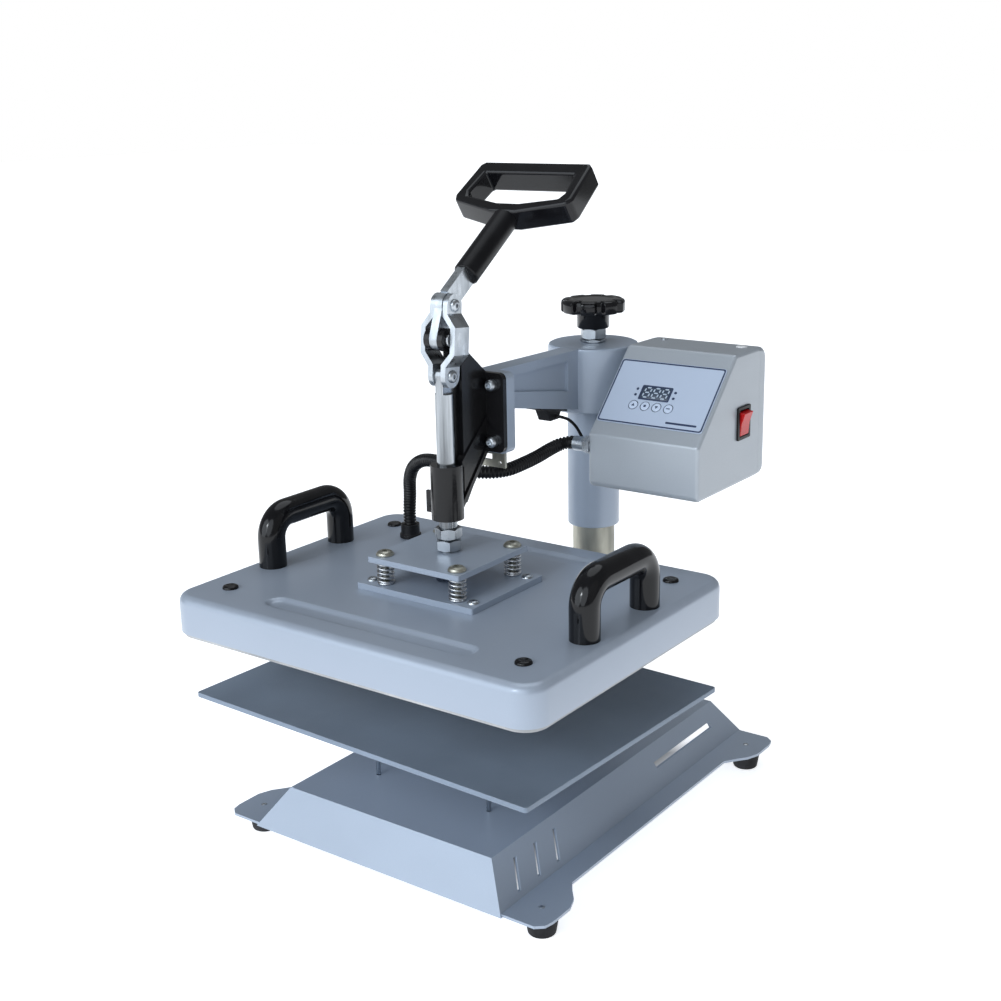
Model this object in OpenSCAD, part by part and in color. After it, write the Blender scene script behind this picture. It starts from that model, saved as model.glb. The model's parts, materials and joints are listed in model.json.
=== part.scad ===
// Swing-away heat press: a fixed column carries a swinging arm with a toggle lever,
// a sprung heating head, a control box and an adjusting knob for the arm's height.
// Working frame inside the modules: x right, y back, z up, with the press rod on the z axis
// and z = 0 at the underside of the base flange. at_origin() then moves every sub-part so
// that the origin is the centre of the footprint box, on the surface the feet stand on.

/* [Base] */
// Width of the base shell at the flange
base_bottom_w = 279; // [240:1:300]
// Width of the base shell's flat top
base_top_w = 229; // [200:1:260]
// Height of the base shell
base_h = 36.7; // [30:0.1:45]
// Height of the rubber feet
foot_h = 20.5; // [15:0.5:25]
// Sheet thickness of the base
sheet_t = 2.5; // [1.5:0.5:3]

/* [Platens] */
// Width of the lower platen
platen_w = 380; // [300:1:385]
// Depth of the lower platen
platen_d = 286; // [240:1:290]
// Height of the lower platen's top face above the flange
platen_top = 123.7; // [100:0.1:126]
// Small turn of the lower platen about its centre
platen_turn = -2.26; // [-3:0.01:3]
// Width of the heating head's cover
head_w = 394; // [390:1:400]
// Depth of the heating head's cover
head_d = 310; // [308:1:316]

/* [Column and arm] */
// Outer diameter of the column tube
column_dia = 42.3; // [40:0.1:43]
// Distance from the press rod to the column
reach = 238.4; // [236:0.1:242]
// Radius of the arm's round boss
boss_r = 44.5; // [42:0.5:46]
// Thickness of the arm's web
web_t = 20; // [16:1:24]
// Width of the control box
box_w = 116; // [100:1:120]

/* [Toggle lever] */
// Height of the fulcrum pin
fulcrum_z = 447.5; // [446:0.1:449]
// Length of the link straps between their pins
link_l = 60.3; // [59:0.1:61]
// Outer width of the D-shaped handle
dhandle_w = 127; // [115:1:132]
// Diameter of the lever's grip sleeve
grip_dia = 23; // [21:0.5:26]

/* [Hidden] */
$fn = 64;
eps = 0.01;

// Footprint box of the whole press, which sets the origin
base_mid_y = 91;
base_half_d = 214;
origin_y = (base_mid_y + base_half_d - head_d / 2) / 2;

// Base shell, flange ears and feet
base_top_half_d = 191.5;
flange_x = 159;
ear_x = 179.5;
ear_half_d = 211.5;
foot_x = 159.5;
foot_half_y = 184;
stud_x = 64;
stud_y = 38;
platen_y = 2.5;
platen_t = 4.6;
stud_r = 2;
stud_nut_h = 3.2;
foot_screw_r = 2;

// Column, bushes and sleeve
column_r = column_dia / 2;
column_bore_r = 17.5;
column_top = 390;
flange_t = 8;
running = 0.06;
bush_r = 23;
sleeve_r = 25.85;
sleeve_bottom = 224;
boss_bottom = 345;
boss_top = 409;
screw_r = 8;

// Arm end plate and toggle frame
plate_y = 52;
plate_t = 12;
plate_half_w = 28.5;
plate_bottom = 338;
plate_top = 411;
frame_t = 5;
bolt_x = 17;
bolt_z = [349.8, 401];
bolt_head_r = 5.2;
cheek_in = 4.4;
cheek_out = 9.8;
guide_r = 14.5;
guide_z = [288, 337];

// Linkage pivots in the y-z plane
lug_r = 10;
fulcrum = [-4, fulcrum_z];
lever_pivot = [6, fulcrum_z + 28];
rod_pivot = [0, lever_pivot[1] - sqrt(link_l * link_l - lever_pivot[0] * lever_pivot[0])];
link_lean = asin(lever_pivot[0] / link_l);
pin_r = 4;
pin_head_r = 5.5;
rod_r = 8.2;
bar_half_t = 4;
strap_in = 4.35;
strap_bulge = 13.4;
strap_t = 5;

// Lever stem, grip sleeve and handle
stem_tilt = 55;
stem_foot = [33.9, 497];
grip_l = 74;
handle_l = 142;
handle_t = 23;
handle_bar = 12;
handle_rise = 10;

// Heating head
cover_bottom = 190.7;
cover_top = 226;
cover_r = 23;
cover_edge_r = 8;
cover_t = 1.5;
heat_z = [187.2, 203];
spring_plate_z = [226, 231.6];
pressure_z = [253, 258];
spring_x = 40;
spring_y = 40.5;
plate_screw_x = 56;
plate_screw_y = 40;
side_handle_x = 173;
side_handle_y = 47;
side_handle_r = 12.9;
side_handle_top = 273.2;
side_bend_r = 21;
cap_x = 160.3;
cap_y = 114.1;
gland_pos = [-121, 92];

// Control box in the y-z plane
box_x = 50;
box_front = 150.5;
box_ridge_z = 340;
box_bottom = 289;
box_top = 413;
box_top_front = 218;
box_rear = 283;
box_wall = 2;
box_screw_z = [362, 382];
panel_angle = atan2(box_top - 3 - box_ridge_z, box_top_front - box_front);
overlay_s = [15, 85];
key_s = 36;
key_x = [34.2, 46.6, 58.8, 71.2];
key_r = 4.3;
rocker_pos = [236, 347.5];
rocker_tilt = 12;

// Route of the corrugated conduit and of the thin sensor wire
conduit_r = 6.4;
wire_r = 1.5;
conduit_pts = [[30.95, 158, 327], [28, 158, 327], [24, 157.4, 326.7], [17, 152.5, 324.8],
    [12.5, 141, 321.5], [11, 125, 318.5], [9, 105, 316], [4, 84, 313.5], [-8, 69, 313],
    [-28, 63, 314], [-56, 66, 316], [-82, 71, 314], [-102, 79, 304], [-114, 86, 289],
    [-119, 91, 270], [-121, 92, 254], [-121, 92, 246], [-121, 92, 238]];
wire_pts = [[7, 161, 349.5], [9.5, 161.4, 349.3], [12.5, 165, 348], [14.5, 173, 344], [18, 180, 336],
    [24, 183, 324], [33, 184, 313], [42, 185, 308], [50, 185, 307]];

module at_origin() translate([0, -origin_y, foot_h]) children();

// Shapes shared by several sub-parts
module rrect(w, d, r) {
    square([w - 2 * r, d], center = true);
    square([w, d - 2 * r], center = true);
    for (x = [-1, 1], y = [-1, 1]) translate([x * (w / 2 - r), y * (d / 2 - r)]) circle(r);
}
// Extrudes a y-z outline along x, from x0 to x1
module along_x(x0, x1)
    translate([x0, 0, 0]) rotate([90, 0, 90]) linear_extrude(x1 - x0) children();
// Extrudes an x-z outline along y, from y0 to y1
module along_y(y0, y1)
    translate([0, y1, 0]) rotate([90, 0, 0]) linear_extrude(y1 - y0) children();
module hex_prism(across, h) cylinder(r = across / 2 / cos(30), h = h, $fn = 6);
module x_pin(p, r, x0, x1) translate([x0, p[0], p[1]]) rotate([0, 90, 0]) cylinder(r = r, h = x1 - x0);
module four(x, y) for (i = [-1, 1], j = [-1, 1]) translate([i * x, j * y, 0]) children();

// Sweeps a round tube along a smooth curve through hand-chosen points
function unit(v) = v / norm(v);
function spline(a, b, c, d, t) = 0.5 * (2 * b + (c - a) * t + (2 * a - 5 * b + 4 * c - d) * t * t
    + (3 * b - a - 3 * c + d) * t * t * t);
function curve(p, n) = let (m = len(p) - 1) [for (i = [0 : m - 1], k = [0 : n - 1])
    spline(p[max(i - 1, 0)], p[i], p[i + 1], p[min(i + 2, m)], k / n), p[m]];
function tangent(c, i) = unit(c[min(i + 1, len(c) - 1)] - c[max(i - 1, 0)]);
function carried(v, t) = unit(v - (v * t) * t);
function side_dirs(c) = [for (i = 0, v = carried([0, 0.3, 1], tangent(c, 0)); i < len(c);
    i = i + 1, v = i < len(c) ? carried(v, tangent(c, i)) : v) v];
module swept_tube(c, r, sides) {
    m = len(c);
    dirs = side_dirs(c);
    pts = [for (i = [0 : m - 1]) let (u = dirs[i], w = cross(tangent(c, i), u))
        for (k = [0 : sides - 1]) c[i] + r * (cos(360 * k / sides) * u + sin(360 * k / sides) * w)];
    walls = [for (i = [0 : m - 2], k = [0 : sides - 1]) let (n = (k + 1) % sides)
        [i * sides + k, (i + 1) * sides + k, (i + 1) * sides + n, i * sides + n]];
    caps = [[for (k = [0 : sides - 1]) k], [for (k = [sides - 1 : -1 : 0]) (m - 1) * sides + k]];
    polyhedron(pts, concat(walls, caps), convexity = 10);
}

// ---- Base ----
module frustum(inset) {
    side_slope = (base_bottom_w - base_top_w) / 2 / base_h;
    end_slope = (base_half_d - base_top_half_d) / base_h;
    top = base_h - inset;
    low = -eps * inset;
    intersection() {
        along_y(base_mid_y - base_half_d, base_mid_y + base_half_d) polygon([
            [-base_bottom_w / 2 + inset - low * side_slope, low], [base_bottom_w / 2 - inset, low],
            [base_bottom_w / 2 - inset - top * side_slope, top],
            [-base_bottom_w / 2 + inset + top * side_slope, top]]);
        along_x(-base_bottom_w / 2, base_bottom_w / 2) polygon([
            [base_mid_y - base_half_d + inset, low], [base_mid_y + base_half_d - inset, low],
            [base_mid_y + base_half_d - inset - top * end_slope, top],
            [base_mid_y - base_half_d + inset + top * end_slope, top]]);
    }
}
module flange_outline() {
    ear = ear_half_d;
    polygon([for (s = [-1, 1], p = s < 0
        ? [[base_bottom_w / 2 - 3, -ear], [ear_x - 9, -ear], [ear_x - 2, -ear + 6], [ear_x, -ear + 15],
           [ear_x, -ear + 40], [ear_x - 5, -ear + 53], [ear_x - 13, -ear + 63], [flange_x, -ear + 74]]
        : [[flange_x, ear - 74], [ear_x - 13, ear - 63], [ear_x - 5, ear - 53], [ear_x, ear - 40],
           [ear_x, ear - 15], [ear_x - 2, ear - 6], [ear_x - 9, ear], [base_bottom_w / 2 - 3, ear]])
        [p[0], p[1] + base_mid_y]]);
}
module base_shell() color([0.69, 0.75, 0.84]) at_origin() {
    vent_lean = 14;
    difference() {
        union() {
            frustum(0);
            for (m = [0, 1]) mirror([m, 0, 0]) linear_extrude(sheet_t) flange_outline();
        }
        frustum(sheet_t);
        for (i = [-1, 1], y = [0, 1]) translate([i * foot_x, base_mid_y + (2 * y - 1) * foot_half_y, -1])
            cylinder(r = foot_screw_r + 0.1, h = 10);
        for (i = [-1, 1], k = [0 : 2]) along_x(i > 0 ? 105 : -145, i > 0 ? 145 : -105)
            polygon([[k * 29.5 - 91.8, 7], [k * 29.5 - 87.2, 7], [k * 29.5 - 87.2 + vent_lean, 28],
                [k * 29.5 - 91.8 + vent_lean, 28]]);
        along_x(105, 145) translate([206, 20.7]) square([110, 5.4], center = true);
        four(stud_x, stud_y) translate([0, platen_y, base_h - 6]) cylinder(r = stud_r + 0.3, h = 10);
        translate([0, reach, base_h - 6]) four(32, 32) cylinder(r = 4.3, h = 10);
    }
}
module base_feet() color([0.07, 0.07, 0.08]) at_origin()
    translate([0, base_mid_y, 0]) four(foot_x, foot_half_y) rotate_extrude()
        polygon([[foot_screw_r, -foot_h + 5], [6.5, -foot_h + 5], [6.5, -foot_h], [11, -foot_h],
            [12, -foot_h + 1], [15, -2], [14.2, 0], [foot_screw_r, 0]]);
module foot_screws() color([0.78, 0.79, 0.8]) at_origin()
    translate([0, base_mid_y, 0]) four(foot_x, foot_half_y) {
        translate([0, 0, -foot_h + 5]) cylinder(r = foot_screw_r, h = foot_h - 5 + sheet_t);
        translate([0, 0, -foot_h + 2.5]) cylinder(r = 6, h = 2.5);
        translate([0, 0, sheet_t]) cylinder(r1 = 2.9, r2 = 1.6, h = 0.8);
    }
module column_flange() color([0.69, 0.75, 0.84]) at_origin() difference() {
    translate([0, reach, base_h]) linear_extrude(flange_t) rrect(88, 84, 8);
    translate([0, reach, base_h - 1]) cylinder(r = column_r, h = flange_t + 2);
    translate([0, reach, base_h - 1]) four(32, 32) cylinder(r = 4.2, h = flange_t + 2);
}
module column_tube() color([0.74, 0.73, 0.68]) at_origin() difference() {
    translate([0, reach, base_h]) cylinder(r = column_r, h = column_top - base_h);
    translate([0, reach, base_h - 1]) cylinder(r = column_bore_r, h = column_top);
}
module column_bolts() color([0.8, 0.81, 0.82]) at_origin() translate([0, reach, 0]) four(32, 32) {
    translate([0, 0, base_h - sheet_t - 9]) cylinder(r = 4, h = flange_t + sheet_t + 9);
    translate([0, 0, base_h + flange_t]) hex_prism(13, 5.3);
    translate([0, 0, base_h - sheet_t - 6.5]) difference() {
        hex_prism(13, 6.5);
        translate([0, 0, -1]) cylinder(r = 4, h = 9);
    }
}
module column_nut() color([0.74, 0.73, 0.68]) at_origin() translate([0, reach, column_top - 26])
    difference() {
        cylinder(r = column_bore_r, h = 26);
        translate([0, 0, -1]) cylinder(r = screw_r + running, h = 28);
    }
module lower_platen() color([0.62, 0.69, 0.8]) at_origin() translate([0, platen_y, platen_top - platen_t])
    rotate([0, 0, platen_turn]) linear_extrude(platen_t) rrect(platen_w, platen_d, 3);
module platen_studs() color([0.7, 0.72, 0.75]) at_origin() four(stud_x, stud_y)
    translate([0, platen_y, base_h - 14]) cylinder(r = stud_r, h = platen_top - platen_t - base_h + 14);
module stud_nuts() color([0.8, 0.81, 0.82]) at_origin() four(stud_x, stud_y)
    translate([0, platen_y, base_h - sheet_t - stud_nut_h]) difference() {
        hex_prism(7, stud_nut_h);
        translate([0, 0, -1]) cylinder(r = stud_r, h = stud_nut_h + 2);
    }

// ---- Column guide ----
module guide_bushes() color([0.72, 0.56, 0.3]) at_origin() for (z = [sleeve_bottom + 1, 358])
    translate([0, reach, z]) difference() {
        cylinder(r = bush_r, h = 30);
        translate([0, 0, -1]) cylinder(r = column_r + running, h = 32);
    }

// ---- Arm ----
function web_low(y) = 376 - 26 * (y - plate_y - plate_t) / (reach - boss_r - plate_y - plate_t);
module arm_casting() color([0.69, 0.75, 0.84]) at_origin() {
    bore_r = sleeve_r;
    difference() {
        union() {
            translate([0, reach, 0]) rotate_extrude() polygon([[0, boss_bottom], [boss_r - 1.5, boss_bottom],
                [boss_r, boss_bottom + 1.5], [boss_r, boss_top - 3], [boss_r - 1, boss_top - 1],
                [boss_r - 3, boss_top], [0, boss_top]]);
            along_x(-web_t / 2, web_t / 2) polygon([[plate_y + 2, plate_top - 0.5], [reach, boss_top - 1],
                [reach, boss_bottom + 0.5], [reach - boss_r, web_low(reach - boss_r)],
                [plate_y + plate_t, web_low(plate_y + plate_t)], [plate_y + 2, 378]]);
            along_y(plate_y, plate_y + plate_t) translate([0, (plate_top + plate_bottom) / 2])
                rrect(2 * plate_half_w, plate_top - plate_bottom, 6);
            translate([boss_r - 6, reach + 2, 352]) cube([box_x - boss_r + 6, 26, 40]);
        }
        for (z = box_screw_z) x_pin([reach + 14, z], 3.1, box_x - 9, box_x + 1);
        for (s = [-1, 1]) along_x(s > 0 ? web_t / 2 - 3 : -web_t / 2 - 1, s > 0 ? web_t / 2 + 1 : 3 - web_t / 2)
            polygon([[74, 401.5], [178, 400], [178, 371], [74, 389]]);
        translate([0, reach, boss_bottom - 1]) cylinder(r = bore_r, h = 400 - boss_bottom + 1);
        translate([0, reach, 390]) cylinder(r = screw_r + running, h = 30);
        for (x = [-1, 1], z = bolt_z) translate([x * bolt_x, plate_y - 1, z]) rotate([-90, 0, 0])
            cylinder(r = 4, h = plate_t + 2);
    }
}
module arm_sleeve() color([0.69, 0.75, 0.84]) at_origin() translate([0, reach, sleeve_bottom]) difference() {
    cylinder(r = sleeve_r, h = 400 - sleeve_bottom);
    translate([0, 0, -1]) cylinder(r = bush_r + running, h = 400 - sleeve_bottom + 2);
}
module cheek_outline() {
    translate(fulcrum) circle(lug_r);
    polygon([[fulcrum[0], fulcrum[1] + lug_r], [4, 455.5], [24, 432], [plate_y - frame_t, 412.5],
        [plate_y - frame_t, 343], [16, 300], [12.5, 300], [12.5, 434], [fulcrum[0], fulcrum[1] - lug_r]]);
}
module toggle_frame() color([0.08, 0.08, 0.09]) at_origin() difference() {
    union() {
        along_y(plate_y - frame_t, plate_y) translate([0, 375.8]) rrect(2 * plate_half_w, 71.6, 6);
        for (s = [0, 1]) mirror([s, 0, 0]) {
            along_x(cheek_in, cheek_out) cheek_outline();
            along_x(cheek_in, cheek_out + 1.6) for (z = [[368, 333], [341, 296]])
                polygon([[plate_y - frame_t, z[0]], [plate_y - frame_t, z[0] + 6], [8, z[1] + 6], [8, z[1]]]);
        }
        along_x(-cheek_in, cheek_in) polygon([[plate_y - frame_t, 412], [30, 424], [22, 424], [14.5, 416],
            [12.5, 400], [12.5, 300], [16, 300], [plate_y - frame_t, 343]]);
        translate([0, 0, guide_z[0]]) cylinder(r = guide_r, h = guide_z[1] - guide_z[0]);
        translate([-guide_r - 12, 3, guide_z[0] + 1]) cube([14, 3, 20]);
    }
    translate([0, 0, guide_z[0] - 1]) cylinder(r = rod_r + running, h = 60);
    x_pin(fulcrum, pin_r, -20, 20);
    translate([-guide_r - 6, 0, guide_z[0] + 8]) rotate([-90, 0, 0]) cylinder(r = 3, h = 12);
    for (x = [-1, 1], z = bolt_z) translate([x * bolt_x, plate_y - frame_t - 30, z]) rotate([-90, 0, 0])
        cylinder(r = 4, h = 40);
}
module frame_bolts() color([0.82, 0.83, 0.84]) at_origin() for (x = [-1, 1], z = bolt_z)
    translate([x * bolt_x, plate_y - frame_t, z]) rotate([90, 0, 0]) {
        cylinder(r = bolt_head_r, h = 7);
        translate([0, 0, -frame_t - plate_t]) cylinder(r = 4, h = frame_t + plate_t + 1);
    }
module clip_plate() color([0.62, 0.66, 0.72]) at_origin() along_y(plate_y + 1, plate_y + 4) difference() {
    translate([8, plate_bottom - 6.8]) square([33, 13.6], center = true);
    translate([3, 333.5]) square([15, 5.5], center = true);
    translate([19, 329]) circle(1.6);
}
module fulcrum_pin() color([0.84, 0.85, 0.86]) at_origin() {
    x_pin(fulcrum, pin_r, -cheek_out, cheek_out);
    for (s = [-1, 1]) x_pin(fulcrum, pin_head_r, s > 0 ? cheek_out : -cheek_out - 2.6,
        s > 0 ? cheek_out + 2.6 : -cheek_out);
}

// ---- Control box ----
module box_outline(inset) {
    s = sin(panel_angle);
    c = cos(panel_angle);
    ridge_r = 4;
    edge_r = 6;
    k = [[box_front + edge_r, box_bottom + edge_r, edge_r],
        [box_front + ridge_r, box_ridge_z - ridge_r * (1 - s) / c, ridge_r],
        [box_front + (edge_r + (box_top - edge_r - box_ridge_z) * c) / s, box_top - edge_r, edge_r],
        [box_rear - 12, box_top - 12, 12], [box_rear - 9, box_bottom + 9, 9]];
    hull() for (c = k) translate([c[0], c[1]]) circle(c[2] - inset, $fn = 32);
}
module on_panel() translate([box_x, box_front, box_ridge_z]) rotate([panel_angle, 0, 0]) children();
module cover_screw_places() for (x = [16, box_w - 16], z = [box_top - 1.4, box_bottom - 1])
    translate([box_x + x, box_rear - 19, z]) children();
module box_shell() color([0.66, 0.68, 0.71]) at_origin() difference() {
    along_x(box_x, box_x + box_w) box_outline(0);
    along_x(box_x + box_wall, box_x + box_w - box_wall) box_outline(box_wall);
    translate([box_x - 1, box_rear - 14, box_bottom - 1]) cube([box_w + 2, 40, 140]);
    on_panel() translate([5, overlay_s[0] + 2, -4]) cube([box_w - 10, overlay_s[1] - overlay_s[0] - 4, 9]);
    along_x(box_x + box_w - 5, box_x + box_w + 5) translate(rocker_pos) square([21.4, 27.4], center = true);
    x_pin([158, 327], 6, box_x - 5, box_x + 5);
    x_pin([185, 307], 2, box_x - 5, box_x + 5);
    for (z = box_screw_z) x_pin([reach + 14, z], 3.2, box_x - 5, box_x + 5);
    cover_screw_places() translate([0, 0, -2]) cylinder(r = 3.6, h = 6);
}
module box_back() color([0.6, 0.63, 0.67]) at_origin() difference() {
    intersection() {
        along_x(box_x, box_x + box_w) box_outline(0);
        translate([box_x - 1, box_rear - 13.8, box_bottom - 1]) cube([box_w + 2, 40, 140]);
    }
    intersection() {
        along_x(box_x + box_wall, box_x + box_w - box_wall) box_outline(box_wall);
        translate([box_x - 1, box_rear - 20, box_bottom - 1]) cube([box_w + 2, 40, 140]);
    }
    translate([box_x + box_w - 28, box_rear - 10, 312]) rotate([-90, 0, 0]) cylinder(r = 8, h = 20);
    for (k = [0 : 7]) translate([box_x + 20 + k * 7, box_rear - 5, 350]) cube([3, 10, 32]);
}
module box_bracket() color([0.2, 0.2, 0.22]) at_origin() difference() {
    translate([box_x + box_wall, reach + 2, 350]) cube([4.2, 26, 44]);
    for (z = box_screw_z) x_pin([reach + 14, z], 3.2, box_x - 5, box_x + 12);
}
module box_screws() color([0.82, 0.82, 0.8]) at_origin() {
    for (z = box_screw_z) {
        x_pin([reach + 14, z], 3.1, box_x - 8, box_x + box_wall + 4.2);
        x_pin([reach + 14, z], 5.4, box_x + box_wall + 4.2, box_x + box_wall + 7.2);
    }
    cover_screw_places() cylinder(r = 3.6, h = 2.4);
}
module overlay_panel() color([0.7, 0.76, 0.87]) at_origin() difference() {
    on_panel() translate([box_w / 2, (overlay_s[0] + overlay_s[1]) / 2, 0]) linear_extrude(1)
        rrect(110.6, overlay_s[1] - overlay_s[0], 3);
    on_panel() translate([36.7, 43.4, -3]) cube([30.8, 14.4, 8]);
    on_panel() for (x = key_x) translate([x, key_s, -5]) cylinder(r = key_r + 0.35, h = 10);
}
module display_module() color([0.2, 0.24, 0.3]) at_origin() on_panel() {
    translate([37, 43.7, -7.4]) cube([30.2, 13.8, 8]);
    for (x = [32, 72], s = [47.3, 53.6]) translate([x, s, 1]) cylinder(r = 1.3, h = 0.5);
}
module control_board() color([0.1, 0.36, 0.2]) at_origin() on_panel() {
    translate([14, 20, -9]) cube([88, 58, 1.6]);
    for (x = [20, 96], s = [25, 73]) translate([x, s, -8]) cylinder(r = 2.5, h = 8);
    translate([78, 24, -13]) cube([14, 10, 4]);
    translate([24, 62, -19]) cube([30, 8, 10]);
}
module transformer() color([0.35, 0.3, 0.24]) at_origin() {
    translate([box_x + 12, 178, box_bottom + box_wall]) cube([42, 36, 38]);
    translate([box_x + 4, 188, box_bottom + box_wall]) cube([58, 16, 1.5]);
}
module power_relay() color([0.12, 0.16, 0.22]) at_origin() {
    translate([box_x + 66, 196, box_bottom + box_wall]) cube([44, 58, 25]);
    translate([box_x + 72, 204, 316]) cube([32, 42, 3]);
}
module cord_gland() color([0.08, 0.08, 0.09]) at_origin()
    translate([box_x + box_w - 28, box_rear - box_wall, 312]) rotate([-90, 0, 0]) difference() {
        union() {
            translate([0, 0, -3]) cylinder(r = 7.8, h = 6);
            translate([0, 0, box_wall]) hex_prism(20, 5);
            translate([0, 0, box_wall + 5]) cylinder(r = 8, h = 6);
            translate([0, 0, -4]) cylinder(r = 10, h = 4);
        }
        translate([0, 0, -10]) cylinder(r = 3.8, h = 40);
    }
module switch_bezel() color([0.06, 0.06, 0.07]) at_origin() difference() {
    union() {
        along_x(box_x + box_w, box_x + box_w + 2) translate(rocker_pos) rrect(25, 31.5, 1.5);
        along_x(box_x + box_w - 20, box_x + box_w) translate(rocker_pos) square([21, 27], center = true);
    }
    along_x(box_x + box_w - 12, box_x + box_w + 5) translate(rocker_pos) square([17.6, 25], center = true);
}
module lever_sensor() color([0.07, 0.07, 0.08]) at_origin() {
    along_x(-9, 9) polygon([[134, web_low(134)], [178, web_low(178)], [178, web_low(178) - 2],
        [134, web_low(134) - 2]]);
    along_x(-7, 7) polygon([[146, web_low(146) - 2], [170, web_low(170) - 2], [166, 346], [152, 346]]);
}
module sensor_wire() color([0.1, 0.1, 0.11]) at_origin() swept_tube(curve(wire_pts, 3), wire_r, 8);
module conduit_fitting() color([0.72, 0.72, 0.7]) at_origin() difference() {
    union() {
        x_pin([158, 327], 6, box_x - 3, box_x + 6);
        translate([box_x - 7, 158, 327]) rotate([0, 90, 0]) hex_prism(15, 7);
        x_pin([158, 327], 6.9, 31, box_x - 7);
    }
    x_pin([158, 327], 5, 25, box_x + 9);
}
module conduit() color([0.09, 0.09, 0.1]) at_origin() swept_tube(curve(conduit_pts, 4), conduit_r, 10);

// ---- Height adjustment ----
module adjust_knob() color([0.06, 0.06, 0.07]) at_origin() translate([0, reach, 0]) difference() {
    union() {
        translate([0, 0, 423]) cylinder(r = 16, h = 16);
        translate([0, 0, 438.5]) rotate_extrude() polygon([[0, 0], [30, 0], [31.5, 2], [31.5, 10],
            [30, 12], [22, 13.5], [0, 13.5]]);
    }
    for (k = [0 : 7]) rotate([0, 0, 45 * k + 22.5]) translate([36.5, 0, 437]) cylinder(r = 9, h = 18);
    translate([0, 0, 420]) cylinder(r = screw_r, h = 25);
}
module adjust_screw() color([0.8, 0.8, 0.78]) at_origin() translate([0, reach, 0]) {
    translate([0, 0, 336]) cylinder(r = screw_r, h = 109);
    for (z = [[boss_top + 0.3, 3], [412.7, 10]]) translate([0, 0, z[0]]) difference() {
        hex_prism(23, z[1]);
        translate([0, 0, -1]) cylinder(r = screw_r, h = z[1] + 2);
    }
}

// ---- Lever ----
module stem_place() translate([0, stem_foot[0], stem_foot[1]]) rotate([-stem_tilt, 0, 0]) children();
module lever_bar() color([0.78, 0.8, 0.82]) at_origin() difference() {
    union() {
        along_x(-bar_half_t, bar_half_t) {
            translate(fulcrum) circle(9.5);
            translate(lever_pivot) circle(11);
            translate(fulcrum) rotate(-atan2(10, 28)) translate([-9.5, 0]) square([19, 30]);
        }
        stem_place() translate([-bar_half_t, -9.5, -30]) cube([2 * bar_half_t, 19, 30 + grip_l - 2]);
    }
    x_pin(fulcrum, pin_r + running, -10, 10);
    x_pin(lever_pivot, pin_r, -10, 10);
}
module lever_grip() color([0.07, 0.07, 0.08]) at_origin() stem_place() difference() {
    rotate_extrude() polygon([[0, 0], [grip_dia / 2 - 2, 0], [grip_dia / 2, 2], [grip_dia / 2, grip_l],
        [0, grip_l]]);
    translate([-bar_half_t, -9.5, -1]) cube([2 * bar_half_t, 19, grip_l - 1]);
}
module handle_ring(w, tip, low, v, cut)
    polygon([[-w + cut, tip], [w - cut, tip], [w, tip - cut], [w + 3, low + 4], [w, low - 3],
        [12, v], [-12, v], [-w, low - 3], [-w - 3, low + 4], [-w, tip - cut]]);
module d_handle() color([0.05, 0.05, 0.06]) at_origin() stem_place() {
    w = dhandle_w / 2 - 3;
    translate([0, handle_t - handle_rise, 0]) rotate([90, 0, 0]) linear_extrude(handle_t)
        difference() {
            handle_ring(w, handle_l, 90, grip_l, 4);
            handle_ring(w - handle_bar, handle_l - 15, 97, grip_l + 12, 2);
        }
}
module lever_pin() color([0.84, 0.85, 0.86]) at_origin() {
    x_pin(lever_pivot, pin_r, -strap_in - strap_t - 0.1, strap_in + strap_t + 0.1);
    for (s = [0, 1]) mirror([s, 0, 0])
        x_pin(lever_pivot, pin_head_r, strap_in + strap_t + 0.1, strap_in + strap_t + 2.7);
}

// ---- Links ----
module strap_outline() polygon([[strap_in, -lug_r], [strap_in + strap_t, -lug_r], [strap_in + strap_t, 8],
    [strap_bulge + strap_t, 19], [strap_bulge + strap_t, 42.5], [strap_in + strap_t, 53.5],
    [strap_in + strap_t, link_l + lug_r], [strap_in, link_l + lug_r], [strap_in, 51.5],
    [strap_bulge, 41], [strap_bulge, 20.5], [strap_in, 10]]);
module link_straps() color([0.82, 0.83, 0.84]) at_origin() difference() {
    translate([0, rod_pivot[0], rod_pivot[1]]) rotate([-link_lean, 0, 0]) for (s = [0, 1]) mirror([s, 0, 0])
        intersection() {
            along_y(-lug_r, lug_r) strap_outline();
            along_x(0, 30) {
                circle(lug_r);
                translate([0, link_l]) circle(lug_r);
                translate([-lug_r, 0]) square([2 * lug_r, link_l]);
            }
        }
    x_pin(rod_pivot, pin_r, -20, 20);
    x_pin(lever_pivot, pin_r + running, -20, 20);
}
module link_rivets() color([0.84, 0.85, 0.86]) at_origin() for (s = [0, 1]) mirror([s, 0, 0]) {
    x_pin(rod_pivot, pin_r, strap_in, strap_in + strap_t);
    x_pin(rod_pivot, pin_head_r, strap_in + strap_t, strap_in + strap_t + 2.6);
}

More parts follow.
